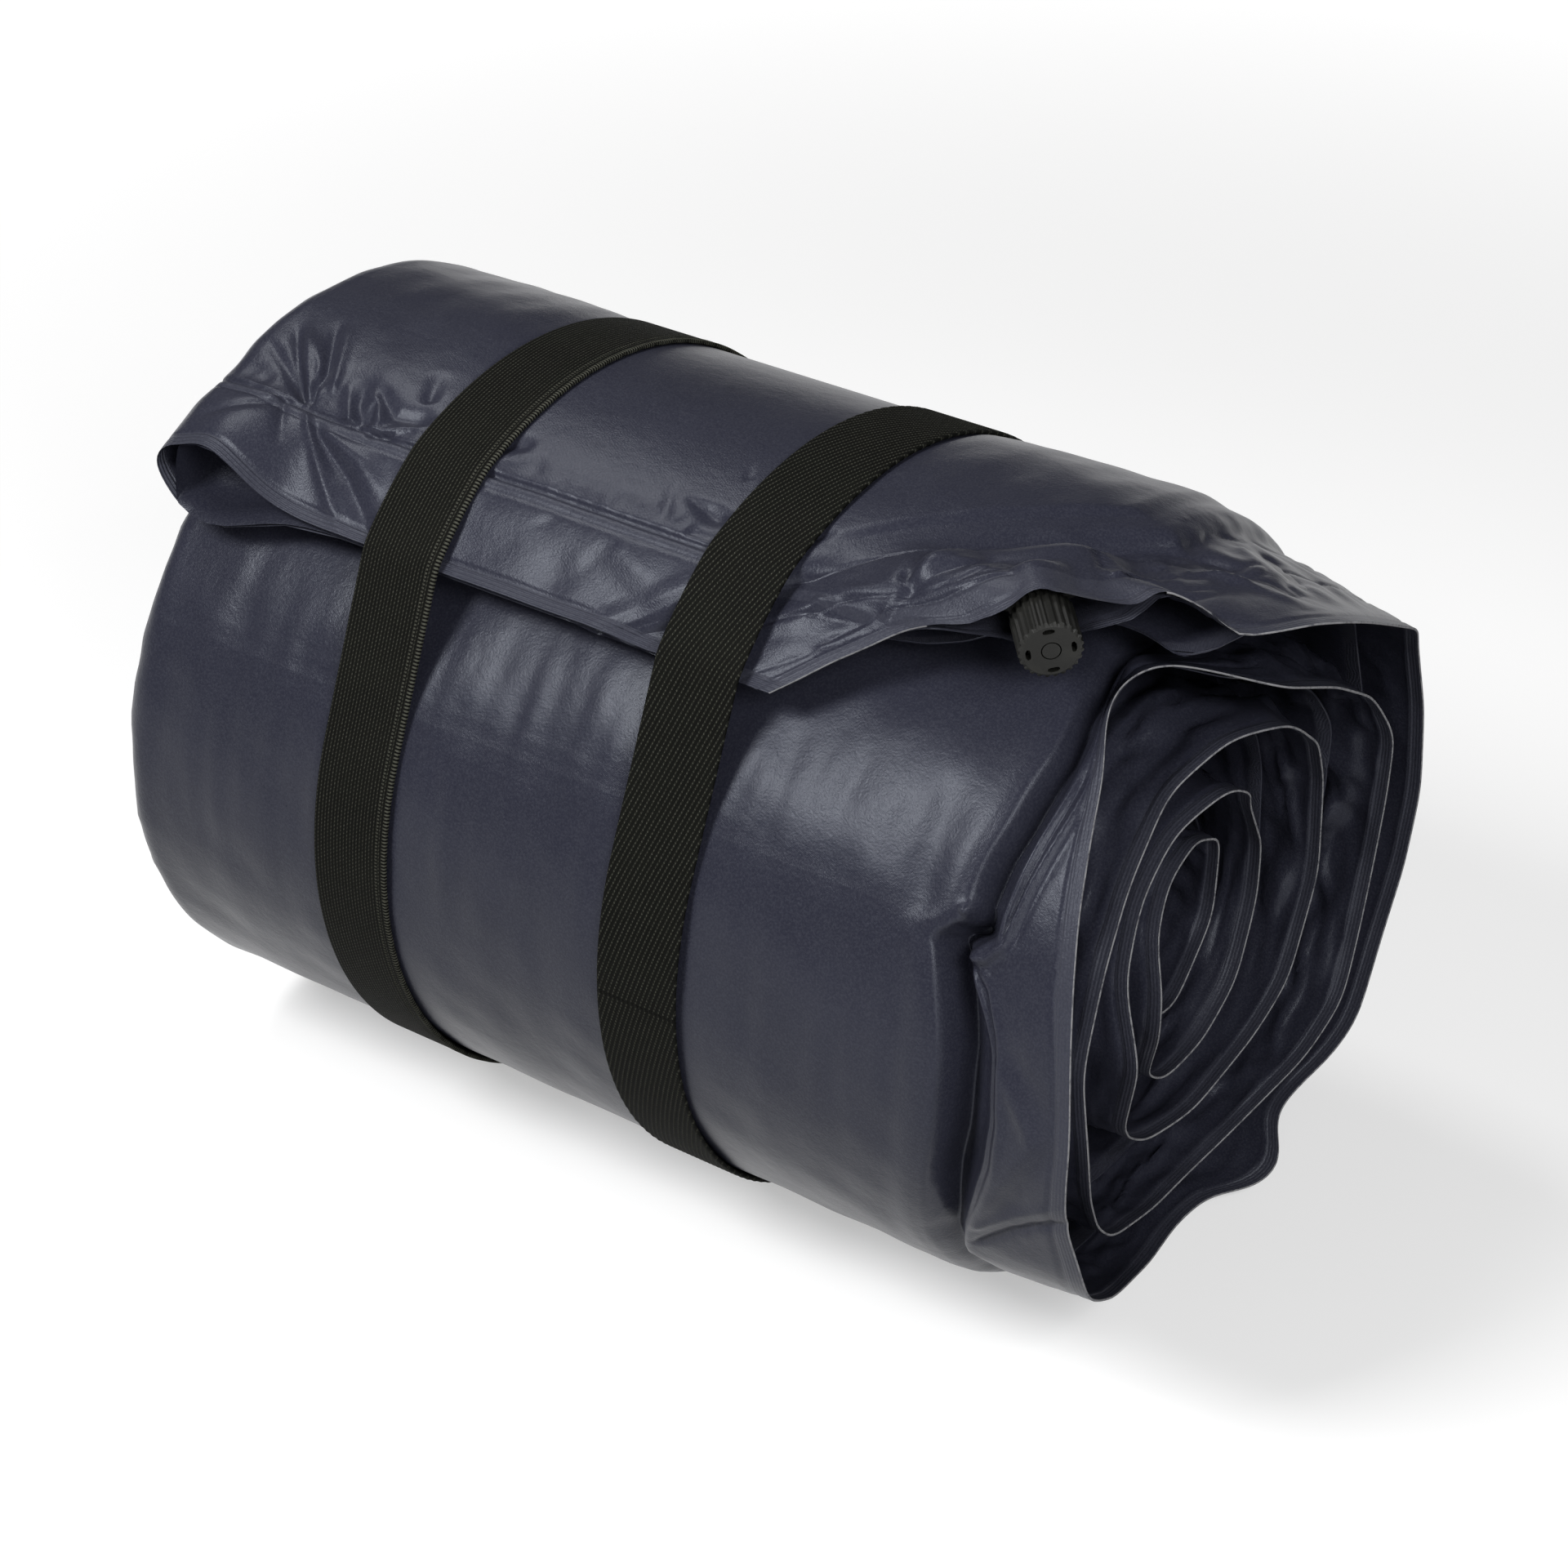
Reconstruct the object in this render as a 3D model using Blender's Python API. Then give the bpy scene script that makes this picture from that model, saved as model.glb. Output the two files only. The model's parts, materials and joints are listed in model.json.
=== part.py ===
"""Rolled self-inflating sleeping mat, held by two elastic straps, with a screw valve.

The mat is two welded fabric sheets round a foam core. It is folded in half along its
length, with the fold at -X, and rolled up round the X axis, with its free end at the
front (-Y), above. The part stands on Z = 0, and the origin is at the centre of its base.

A place on the roll is given by x, by the angle s that the mat has been wound inwards
from its free end, and by a depth below the outer face of that turn.
"""
import math

import bmesh
import bpy
from mathutils import Matrix, Vector

MM = 0.001
CLEARANCE = 0.3 * MM

# The mat
HALF_WIDTH = 310 * MM
SHEET = 0.6 * MM
FOAM = 7.2 * MM
CORE_RADIUS = 3.4 * MM
TURNS = 5
FREE_END_ANGLE = math.radians(50.5)
FREE_END_MARGIN = math.radians(15)
INNER_END_MARGIN = math.radians(60)
FREE_END_DROP = 5 * MM
FREE_END_GAP = 1.5 * MM
FOLD_DEPTH = 9 * MM
FINE_STEPS = 24
COARSE_STEPS = 12

# The welded margin past the foam, at the valve end
SKIRT = 36 * MM
BACK_SKIRT = 24 * MM
SECOND_SKIRT_RECESS = 12 * MM
CORE_RECESS = 31 * MM
BACK_RECESS = 16 * MM
BACK_FLARE = 6 * MM

# The cut corner that holds the valve
CORNER_SETBACK = 109.4 * MM
CORNER_SLOPE = 1.19
CORNER_FOAM_SETBACK = 43 * MM
CORNER_LIFT = 6.5 * MM
CORNER_LIFT_REACH = math.radians(25)

# The straps
STRAP_WIDTH = 25 * MM
STRAP = 1.4 * MM
STRAP_STEPS = 48
STRAP_X = {"strap_far": -69 * MM, "strap_near": 26 * MM}
STRAP_FLAT = 0.5 * MM
LAP_ANGLE = math.radians(206)
LAP_FACETS = 3
TACK_LENGTH = 20 * MM
TACK_WIDTH = 1.6 * MM
TACK_HEIGHT = 0.5 * MM

# The valve, with distances along its axis from the middle of its boat
VALVE_SETBACK = 57 * MM
VALVE_ANGLE = math.radians(24.4)
VALVE_TILT = math.radians(8)
BOAT_WIDTH = 30 * MM
BOAT_THICKNESS = 8 * MM
BOAT_IN = 7 * MM
BOAT_OUT = 3 * MM
COLLAR_RADIUS = 7.6 * MM
COLLAR_LENGTH = 2 * MM
COLLAR_BURY = 1 * MM
BARREL_RADIUS = 5.6 * MM
BARREL_LENGTH = 18 * MM
BORE_RADIUS = 3.8 * MM
RING_GROOVE = 0.6 * MM
RING_THICKNESS = 1.2 * MM
RING_FROM_MOUTH = 4.5 * MM
CAP_RADIUS = 8 * MM
CAP_BORE_RADIUS = 6.8 * MM
CAP_LENGTH = 14.5 * MM
CAP_FACE = 2.2 * MM
CAP_CHAMFER = 0.6 * MM
CAP_FLUTES = 24
FLUTE_DEPTH = 0.5 * MM
SLOT_COUNT = 4
SLOT_RADIUS = 5.6 * MM
SLOT_WIDTH = 1.3 * MM
SLOT_HALF_ANGLE = math.radians(15)
DISC_RADIUS = 5.4 * MM
DISC_THICKNESS = 1.4 * MM
SEAL_THICKNESS = 1 * MM
STEM_RADIUS = 2 * MM
STEM_LENGTH = 13 * MM
HEAD_RADIUS = 2.2 * MM
ROUND_STEPS = 32

# Worked out from the sizes above
HALF_THICKNESS = FOAM + 2 * (SHEET + CLEARANCE)
LAYER = HALF_THICKNESS + CLEARANCE
PITCH = 2 * LAYER
OUTER_RADIUS = CORE_RADIUS + PITCH * (TURNS + 1)
WOUND = 2 * math.pi * TURNS
FOLD_X = -HALF_WIDTH / 2
SKIRT_X = HALF_WIDTH / 2
VALVE_X = SKIRT_X - VALVE_SETBACK
BARREL_MOUTH = BOAT_OUT + BARREL_LENGTH


def remove_everything():
    for item in list(bpy.data.objects):
        bpy.data.objects.remove(item, do_unlink=True)


def make_material(name, colour, roughness, metallic=0.0):
    material = bpy.data.materials.new(name)
    material.use_nodes = True
    shader = material.node_tree.nodes["Principled BSDF"]
    shader.inputs["Base Color"].default_value = (*colour, 1)
    shader.inputs["Roughness"].default_value = roughness
    shader.inputs["Metallic"].default_value = metallic
    return material


def add_object(name, bm, material, parent=None):
    mesh = bpy.data.meshes.new(name)
    bmesh.ops.recalc_face_normals(bm, faces=bm.faces)
    bm.to_mesh(mesh)
    bm.free()
    item = bpy.data.objects.new(name, mesh)
    bpy.context.collection.objects.link(item)
    item.parent = parent
    if material:
        mesh.materials.append(material)
    return item


def as_cutter(item):
    item.hide_render = True
    item.display_type = "WIRE"
    return item


def boolean(item, other, operation):
    modifier = item.modifiers.new(other.name, "BOOLEAN")
    modifier.operation = operation
    modifier.solver = "EXACT"
    modifier.object = other


def loft(rings, closed_path=False):
    """Skin rings of points, each a closed loop with the same number of points.

    Each quad is split from its first ring's corner of higher x, so that both faces of a
    thin sheet, and the layers that lie on each other, bend alike.
    """
    bm = bmesh.new()
    loops = [[bm.verts.new(point) for point in ring] for ring in rings]
    count = len(loops[0])
    pairs = list(zip(loops, loops[1:]))
    if closed_path:
        pairs.append((loops[-1], loops[0]))
    for near, far in pairs:
        for i in range(count):
            j = (i + 1) % count
            if near[i].co.x >= near[j].co.x:
                bm.faces.new((near[i], near[j], far[j]))
                bm.faces.new((near[i], far[j], far[i]))
            else:
                bm.faces.new((near[i], near[j], far[i]))
                bm.faces.new((near[j], far[j], far[i]))
    if not closed_path:
        ends = [bm.faces.new(loops[0]), bm.faces.new(loops[-1])]
        bmesh.ops.triangulate(bm, faces=ends)
    return bm


def lathe(profile, place, steps=ROUND_STEPS):
    """Turn a closed profile of (radius, distance) about the Z axis of place."""
    rings = []
    for k in range(steps):
        angle = 2 * math.pi * k / steps
        turn = Vector((math.cos(angle), math.sin(angle), 0))
        rings.append([place @ (turn * r + Vector((0, 0, z))) for r, z in profile])
    return loft(rings, closed_path=True)


def solid_lathe(profile, place, steps=ROUND_STEPS):
    """Turn an open profile of (radius, distance) and close it with flat end discs."""
    rings = []
    for r, z in profile:
        turn = [2 * math.pi * k / steps for k in range(steps)]
        rings.append([place @ Vector((r * math.cos(a), r * math.sin(a), z)) for a in turn])
    return loft(rings)


# The spiral

def foam_share(s):
    """0 where the sheets lie together at the mat's two ends, 1 where foam fills them."""
    start = s / FREE_END_MARGIN
    end = (WOUND - s) / INNER_END_MARGIN
    return max(0.0, min(1.0, start, end))


def outer_radius(s):
    drop = FREE_END_DROP * max(0.0, 1 - s / FREE_END_MARGIN)
    return OUTER_RADIUS - PITCH * s / (2 * math.pi) - drop


def section_point(s, depth):
    angle = FREE_END_ANGLE + s
    radius = outer_radius(s) - depth
    return -radius * math.cos(angle), radius * math.sin(angle)


def stations(first, last):
    """Angles along the mat: a fine outer turn, then coarser turns in line with it."""
    fine = [2 * math.pi * k / FINE_STEPS for k in range(FINE_STEPS)]
    coarse = [2 * math.pi * (1 + k / COARSE_STEPS) for k in range((TURNS - 1) * COARSE_STEPS + 1)]
    tiny = 1e-6
    return [s for s in fine + coarse if first - tiny <= s <= last + tiny]


def core_share(s):
    """0 at the roll's axis, rising to 1 over the outermost turn."""
    return min(1.0, outer_radius(s) / (OUTER_RADIUS - PITCH))


def whole_edge_x(s):
    """The skirt's edge with no cut corner: dished towards the core, and shorter at the back."""
    share = core_share(s)
    at_back = (1 - math.cos(FREE_END_ANGLE + s)) / 2
    return SKIRT_X - CORE_RECESS + share * (CORE_RECESS - BACK_RECESS * at_back)


def cut_edge_x(s):
    """The slanting edge across the valve's corner."""
    return SKIRT_X - CORNER_SETBACK + CORNER_SLOPE * s * OUTER_RADIUS


def edge_x(s):
    return min(whole_edge_x(s), cut_edge_x(s))


def foam_x(s):
    at_back = (1 - math.cos(FREE_END_ANGLE + s)) / 2
    skirt = SKIRT + (BACK_SKIRT - SKIRT) * at_back * core_share(s)
    return min(whole_edge_x(s) - skirt, cut_edge_x(s) - CORNER_FOAM_SETBACK)


def edge_rise(s):
    """How far the skirt's edge stands out: flared at the back, lifted at the valve."""
    flare = BACK_FLARE * (1 - math.cos(FREE_END_ANGLE + s)) / 2 * min(1.0, s / (math.pi / 3))
    lift = 0.0
    if abs(s - VALVE_ANGLE) < CORNER_LIFT_REACH:
        lift = CORNER_LIFT * math.cos((s - VALVE_ANGLE) / CORNER_LIFT_REACH * math.pi / 2) ** 2
    if s == 0:
        lift = 0.0
    return lift + flare * core_share(s)


def layer_depths(s):
    """Depths of the outer faces of the four sheet layers, from the outside in."""
    share = foam_share(s)
    step = SHEET + CLEARANCE
    full = (0.0, step + FOAM + CLEARANCE, LAYER, LAYER + step + FOAM + CLEARANCE)
    together = (0.0, step, step + SHEET + FREE_END_GAP, 2 * step + SHEET + FREE_END_GAP)
    return [a + (b - a) * share for a, b in zip(together, full)]


def skirt_depths(s):
    """Depths of the same four layers at the skirt's edge, where each half is welded."""
    d = layer_depths(s)
    rise = edge_rise(s)
    out = []
    for upper, lower in ((d[0], d[1]), (d[2], d[3])):
        middle = (upper + lower + SHEET) / 2 - rise
        out += [middle - CLEARANCE / 2 - SHEET, middle + CLEARANCE / 2]
    return out


def ring_at(s, outline):
    points = []
    for x, depth in outline:
        y, z = section_point(s, depth)
        points.append(Vector((x, y, z)))
    return points


def outer_sheet_outline(s):
    d = layer_depths(s)
    k = skirt_depths(s)
    first = edge_x(s)
    second = first - SECOND_SKIRT_RECESS
    shoulder = foam_x(s) + CLEARANCE
    middle = (d[0] + d[3] + SHEET) / 2
    fold = FOLD_X + FOLD_DEPTH
    outside = [(first, k[0]), (shoulder, d[0]), (fold, d[0]), (FOLD_X, middle),
               (fold, d[3] + SHEET), (shoulder, d[3] + SHEET), (second, k[3] + SHEET)]
    inside = [(second, k[3]), (shoulder, d[3]), (fold, d[3]), (FOLD_X + SHEET, middle),
              (fold, d[0] + SHEET), (shoulder, d[0] + SHEET), (first, k[0] + SHEET)]
    return outside + inside


def inner_sheet_outline(s):
    d = layer_depths(s)
    k = skirt_depths(s)
    first = edge_x(s)
    second = first - SECOND_SKIRT_RECESS
    shoulder = foam_x(s) + CLEARANCE
    middle = (d[1] + d[2] + SHEET) / 2
    tip = FOLD_X + FOLD_DEPTH
    fold = tip + 2 * SHEET
    outside = [(first, k[1]), (shoulder, d[1]), (fold, d[1]), (tip, middle),
               (fold, d[2] + SHEET), (shoulder, d[2] + SHEET), (second, k[2] + SHEET)]
    inside = [(second, k[2]), (shoulder, d[2]), (fold, d[2]), (tip + SHEET, middle),
              (fold, d[1] + SHEET), (shoulder, d[1] + SHEET), (first, k[1] + SHEET)]
    return outside + inside


def foam_outline(s):
    d = layer_depths(s)
    top = d[0] + SHEET + CLEARANCE
    bottom = d[3] - CLEARANCE
    above = d[1] - CLEARANCE
    below = d[2] + SHEET + CLEARANCE
    middle = (top + bottom) / 2
    end = foam_x(s)
    fold = FOLD_X + FOLD_DEPTH + CLEARANCE
    tip = FOLD_X + SHEET + 2 * CLEARANCE
    inner_tip = FOLD_X + FOLD_DEPTH - 2 * CLEARANCE
    inner_fold = inner_tip + 2 * SHEET + CLEARANCE
    return [(end, top), (fold, top), (tip, middle), (fold, bottom), (end, bottom),
            (end, below), (inner_fold, below), (inner_tip, middle), (inner_fold, above),
            (end, above)]


def spiral_mesh(outline, first, last):
    return loft([ring_at(s, outline(s)) for s in stations(first, last)])


# The straps

def convex_hull(points):
    """The hull of points in a plane, anticlockwise."""
    points = sorted(points)

    def half(run):
        out = []
        for p in run:
            while len(out) > 1:
                a, b = out[-2], out[-1]
                if (b[0] - a[0]) * (p[1] - a[1]) - (b[1] - a[1]) * (p[0] - a[0]) > 0:
                    break
                out.pop()
            out.append(p)
        return out[:-1]

    return half(points) + half(points[::-1])


def offset_loop(points, distances):
    """Move each corner of an anticlockwise loop out by its own distance."""
    out = []
    count = len(points)
    for i, point in enumerate(points):
        before = Vector(point) - Vector(points[i - 1])
        after = Vector(points[(i + 1) % count]) - Vector(point)
        normal = Vector((before.y, -before.x)).normalized() + Vector((after.y, -after.x)).normalized()
        normal = normal / (normal.length_squared / 2)
        out.append(Vector(point) + normal * distances[i])
    return out


def strap_loops():
    """The strap's inner and outer outlines round the roll, and its lap's facets."""
    turn = [2 * math.pi * k / STRAP_STEPS for k in range(STRAP_STEPS + 1)]
    hull = convex_hull([section_point(s, 0.0) for s in turn])
    angles = [math.atan2(z, -y) % (2 * math.pi) for y, z in hull]
    start = min(range(len(hull)), key=lambda i: abs(angles[i] - LAP_ANGLE))
    lap = [(start - k) % len(hull) for k in range(LAP_FACETS + 1)]
    thickness = [2 * STRAP if i in lap else STRAP for i in range(len(hull))]
    inner = offset_loop(hull, [CLEARANCE] * len(hull))
    outer = offset_loop(hull, [CLEARANCE + t for t in thickness])
    return inner, outer, lap


STRAP_INNER, STRAP_OUTER, LAP = strap_loops()
ROLL_Y = -(min(p.x for p in STRAP_OUTER) + max(p.x for p in STRAP_OUTER)) / 2
ROLL_Z = -min(p.y for p in STRAP_OUTER) - STRAP_FLAT


def strap_mesh(x):
    near, far = x - STRAP_WIDTH / 2, x + STRAP_WIDTH / 2
    rings = []
    for a, b in zip(STRAP_INNER, STRAP_OUTER):
        rings.append([Vector((near, *a)), Vector((far, *a)), Vector((far, *b)), Vector((near, *b))])
    bm = loft(rings, closed_path=True)
    parts = bm.verts[:] + bm.edges[:] + bm.faces[:]
    cut = bmesh.ops.bisect_plane(bm, geom=parts, plane_co=(0, 0, -ROLL_Z), plane_no=(0, 0, -1),
                                 clear_outer=True, dist=1e-7)
    edges = [e for e in cut["geom_cut"] if isinstance(e, bmesh.types.BMEdge)]
    bmesh.ops.contextual_create(bm, geom=edges)
    bmesh.ops.dissolve_degenerate(bm, edges=bm.edges, dist=1e-6)
    bmesh.ops.triangulate(bm, faces=[f for f in bm.faces if len(f.verts) > 4])
    return bm


def tack_mesh(x, facet):
    """A sewn bar across the lap, lying on one of its facets."""
    a, b = STRAP_OUTER[LAP[facet]], STRAP_OUTER[LAP[facet + 1]]
    along = (b - a).normalized()
    out = Vector((-along.y, along.x))
    if out.dot(a) < 0:
        out = -out
    centre = (a + b) / 2 + out * (CLEARANCE + TACK_HEIGHT / 2)
    axes = Matrix(((1, 0, 0), (0, along.x, out.x), (0, along.y, out.y)))
    size = Matrix.Diagonal((TACK_LENGTH, TACK_WIDTH, TACK_HEIGHT))
    place = Matrix.Translation((x, *centre)) @ (axes @ size).to_4x4()
    bm = bmesh.new()
    bmesh.ops.create_cube(bm, size=1, matrix=place)
    return bm


# The valve

def valve_place():
    """The frame of the valve: Z points out of the mat, X along its cut edge."""
    depth = (HALF_THICKNESS / 2) - CORNER_LIFT
    y, z = section_point(VALVE_ANGLE, depth)
    angle = FREE_END_ANGLE + VALVE_ANGLE
    down = Vector((0, -math.sin(angle), -math.cos(angle)))
    away = Vector((0, -math.cos(angle), math.sin(angle)))
    out = (Vector((1, 0, 0)) + down * CORNER_SLOPE).normalized()
    axis = out * math.cos(VALVE_TILT) + away * math.sin(VALVE_TILT)
    edge = axis.cross(away).normalized()
    across = axis.cross(edge)
    basis = Matrix((edge, across, axis)).transposed().to_4x4()
    return Matrix.Translation((VALVE_X, y, z)) @ basis


def boat_mesh(place):
    """A lens between the sheets, pointed at both ends, extruded along the valve."""
    steps = 12
    upper = []
    for k in range(steps + 1):
        t = 2 * k / steps - 1
        upper.append((t * BOAT_WIDTH / 2, BOAT_THICKNESS / 2 * (0.1 + 0.9 * (1 - t * t))))
    lens = upper + [(a, -b) for a, b in reversed(upper)]
    rings = [[place @ Vector((a, b, z)) for a, b in lens] for z in (-BOAT_IN, BOAT_OUT)]
    return loft(rings)


def pocket_mesh(place):
    """The notch in the sheets round the boat, open past their edge."""
    half = (BOAT_WIDTH / 2 + CLEARANCE, BOAT_THICKNESS / 2 + 2 * SHEET)
    low, high = -BOAT_IN - CLEARANCE, BARREL_MOUTH
    corners = [(-half[0], -half[1]), (half[0], -half[1]), (half[0], half[1]), (-half[0], half[1])]
    return loft([[place @ Vector((a, b, z)) for a, b in corners] for z in (low, high)])


def barrel_profile():
    groove_low = BARREL_MOUTH - RING_FROM_MOUTH - RING_THICKNESS / 2 - CLEARANCE
    groove_high = groove_low + RING_THICKNESS + 2 * CLEARANCE
    groove = BARREL_RADIUS - RING_GROOVE
    foot = BOAT_OUT - COLLAR_BURY
    return [(COLLAR_RADIUS, foot), (COLLAR_RADIUS, BOAT_OUT + COLLAR_LENGTH),
            (BARREL_RADIUS, BOAT_OUT + COLLAR_LENGTH), (BARREL_RADIUS, groove_low),
            (groove, groove_low), (groove, groove_high), (BARREL_RADIUS, groove_high),
            (BARREL_RADIUS, BARREL_MOUTH)]


def ring_profile():
    """The sealing ring's round section, seated in the barrel's groove."""
    radius = RING_THICKNESS / 2
    centre = BARREL_RADIUS - RING_GROOVE + CLEARANCE + radius
    z = BARREL_MOUTH - RING_FROM_MOUTH
    turn = [2 * math.pi * k / 10 for k in range(10)]
    return [(centre + radius * math.cos(a), z + radius * math.sin(a)) for a in turn]


def plunger_profile():
    under_disc = BARREL_MOUTH + SEAL_THICKNESS + 2 * CLEARANCE
    over_disc = under_disc + DISC_THICKNESS
    face_top = over_disc + CLEARANCE + CAP_FACE
    return [(STEM_RADIUS, under_disc - STEM_LENGTH), (STEM_RADIUS, under_disc),
            (DISC_RADIUS, under_disc), (DISC_RADIUS, over_disc), (HEAD_RADIUS, over_disc),
            (HEAD_RADIUS, face_top)]


def seal_profile():
    low = BARREL_MOUTH + CLEARANCE
    high = low + SEAL_THICKNESS
    hole = STEM_RADIUS + CLEARANCE
    return [(hole, low), (DISC_RADIUS, low), (DISC_RADIUS, high), (hole, high)]


def cap_rings(place):
    """A fluted cup, from the hole in its face out, down its side and up its bore."""
    face_low = BARREL_MOUTH + SEAL_THICKNESS + DISC_THICKNESS + 3 * CLEARANCE
    face_high = face_low + CAP_FACE
    rim = face_high - CAP_LENGTH
    hole = HEAD_RADIUS + CLEARANCE
    rings = []
    steps = CAP_FLUTES * 4
    for k in range(steps):
        angle = 2 * math.pi * k / steps
        side = CAP_RADIUS - (FLUTE_DEPTH if k % 4 in (2, 3) else 0)
        shoulder = CAP_RADIUS - FLUTE_DEPTH - CAP_CHAMFER
        profile = [(hole, face_low), (hole, face_high), (shoulder, face_high),
                   (side, face_high - CAP_CHAMFER), (side, rim), (CAP_BORE_RADIUS, rim),
                   (CAP_BORE_RADIUS, face_low)]
        turn = Vector((math.cos(angle), math.sin(angle), 0))
        rings.append([place @ (turn * r + Vector((0, 0, z))) for r, z in profile])
    return rings, face_low, face_high


def slot_cutter(place, low, high):
    """Rounded slots through the cap's face, evenly spaced near its rim."""
    bm = bmesh.new()
    half = SLOT_WIDTH / 2
    for n in range(SLOT_COUNT):
        centre = 2 * math.pi * n / SLOT_COUNT
        outline = []
        for side, way in ((half, 1), (-half, -1)):
            for k in range(5):
                angle = centre + way * SLOT_HALF_ANGLE * (k - 2) / 2
                radius = SLOT_RADIUS + side * (0.5 if k in (0, 4) else 1.0)
                outline.append((radius * math.cos(angle), radius * math.sin(angle)))
        rings = [[place @ Vector((a, b, z)) for a, b in outline] for z in (low - MM, high + MM)]
        loops = [[bm.verts.new(p) for p in ring] for ring in rings]
        count = len(outline)
        for i in range(count):
            j = (i + 1) % count
            bm.faces.new((loops[0][i], loops[0][j], loops[1][j], loops[1][i]))
        bm.faces.new(loops[0])
        bm.faces.new(loops[1])
    return bm


def build_mat(roll, fabric, foam):
    outer = add_object("outer_sheet", spiral_mesh(outer_sheet_outline, 0, WOUND), fabric, roll)
    inner = add_object("inner_sheet", spiral_mesh(inner_sheet_outline, 0, WOUND), fabric, roll)
    foam_span = (FREE_END_MARGIN, WOUND - INNER_END_MARGIN)
    add_object("foam_core", spiral_mesh(foam_outline, *foam_span), foam, roll)
    return outer, inner


def build_straps(roll, elastic, thread):
    for name, x in STRAP_X.items():
        add_object(name, strap_mesh(x), elastic, roll)
        add_object(name + "_upper_stitches", tack_mesh(x, 0), thread, roll)
        add_object(name + "_lower_stitches", tack_mesh(x, LAP_FACETS - 1), thread, roll)


def build_valve(roll, sheets, plastic, rubber):
    place = valve_place()
    body = add_object("valve_body", boat_mesh(place), plastic, roll)
    barrel = as_cutter(add_object("barrel_shape", solid_lathe(barrel_profile(), place), None, roll))
    bore = [(BORE_RADIUS, -BOAT_IN - MM), (BORE_RADIUS, BARREL_MOUTH + MM)]
    bore_cutter = as_cutter(add_object("bore_cutter", solid_lathe(bore, place), None, roll))
    boolean(body, barrel, "UNION")
    boolean(body, bore_cutter, "DIFFERENCE")
    pocket = as_cutter(add_object("pocket_cutter", pocket_mesh(place), None, roll))
    for sheet in sheets:
        boolean(sheet, pocket, "DIFFERENCE")
    add_object("valve_sealing_ring", lathe(ring_profile(), place), rubber, roll)

    # The moving pieces hang from an empty on the valve's own axis
    pivot = bpy.data.objects.new("valve_axis", None)
    bpy.context.collection.objects.link(pivot)
    pivot.parent = roll
    pivot.matrix_local = place
    still = Matrix.Identity(4)
    add_object("valve_plunger", solid_lathe(plunger_profile(), still), plastic, pivot)
    add_object("plunger_seal", lathe(seal_profile(), still), rubber, pivot)
    rings, face_low, face_high = cap_rings(still)
    cap = add_object("valve_cap", loft(rings, closed_path=True), plastic, pivot)
    slots = as_cutter(add_object("slot_cutter", slot_cutter(still, face_low, face_high), None, pivot))
    boolean(cap, slots, "DIFFERENCE")
    return place


def shade_round(names):
    for name in names:
        mesh = bpy.data.objects[name].data
        mesh.shade_smooth()
        mesh.set_sharp_from_angle(angle=math.radians(35))


def main():
    remove_everything()
    fabric = make_material("coated_fabric", (0.050, 0.051, 0.068), 0.42)
    foam = make_material("foam", (0.60, 0.56, 0.42), 0.95)
    elastic = make_material("woven_elastic", (0.020, 0.021, 0.017), 0.80)
    thread = make_material("thread", (0.030, 0.030, 0.028), 0.75)
    plastic = make_material("valve_plastic", (0.026, 0.026, 0.024), 0.48)
    rubber = make_material("rubber", (0.012, 0.012, 0.012), 0.70)

    roll = bpy.data.objects.new("roll_axis", None)
    bpy.context.collection.objects.link(roll)
    roll.location = (0, ROLL_Y, ROLL_Z)

    sheets = build_mat(roll, fabric, foam)
    build_straps(roll, elastic, thread)
    place = build_valve(roll, sheets, plastic, rubber)
    shade_round(["strap_far", "strap_near", "valve_body", "valve_cap", "valve_plunger",
                 "plunger_seal", "valve_sealing_ring"])

    bpy.context.view_layer.update()
    axis = place.to_3x3() @ Vector((0, 0, 1))
    centre = place.translation + roll.location
    print("roll axis at y, z (mm):", ROLL_Y / MM, ROLL_Z / MM)
    print("mat length rolled up (mm):", WOUND * (OUTER_RADIUS - LAYER - PITCH * TURNS / 2) / MM)
    print("valve centre (m):", tuple(round(v, 6) for v in centre))
    print("valve axis:", tuple(round(v, 6) for v in axis))


main()
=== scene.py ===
"""The looks of a rolled self-inflating sleeping mat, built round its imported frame.

A place on the roll is given by the angle s that the mat has been wound inwards from its
free end, by x along the roll, and by a depth below the outer face of that turn. The mat is
folded in half: the upper half is wound outside the lower half, and the fold is at -X.
"""
import json
import math

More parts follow.
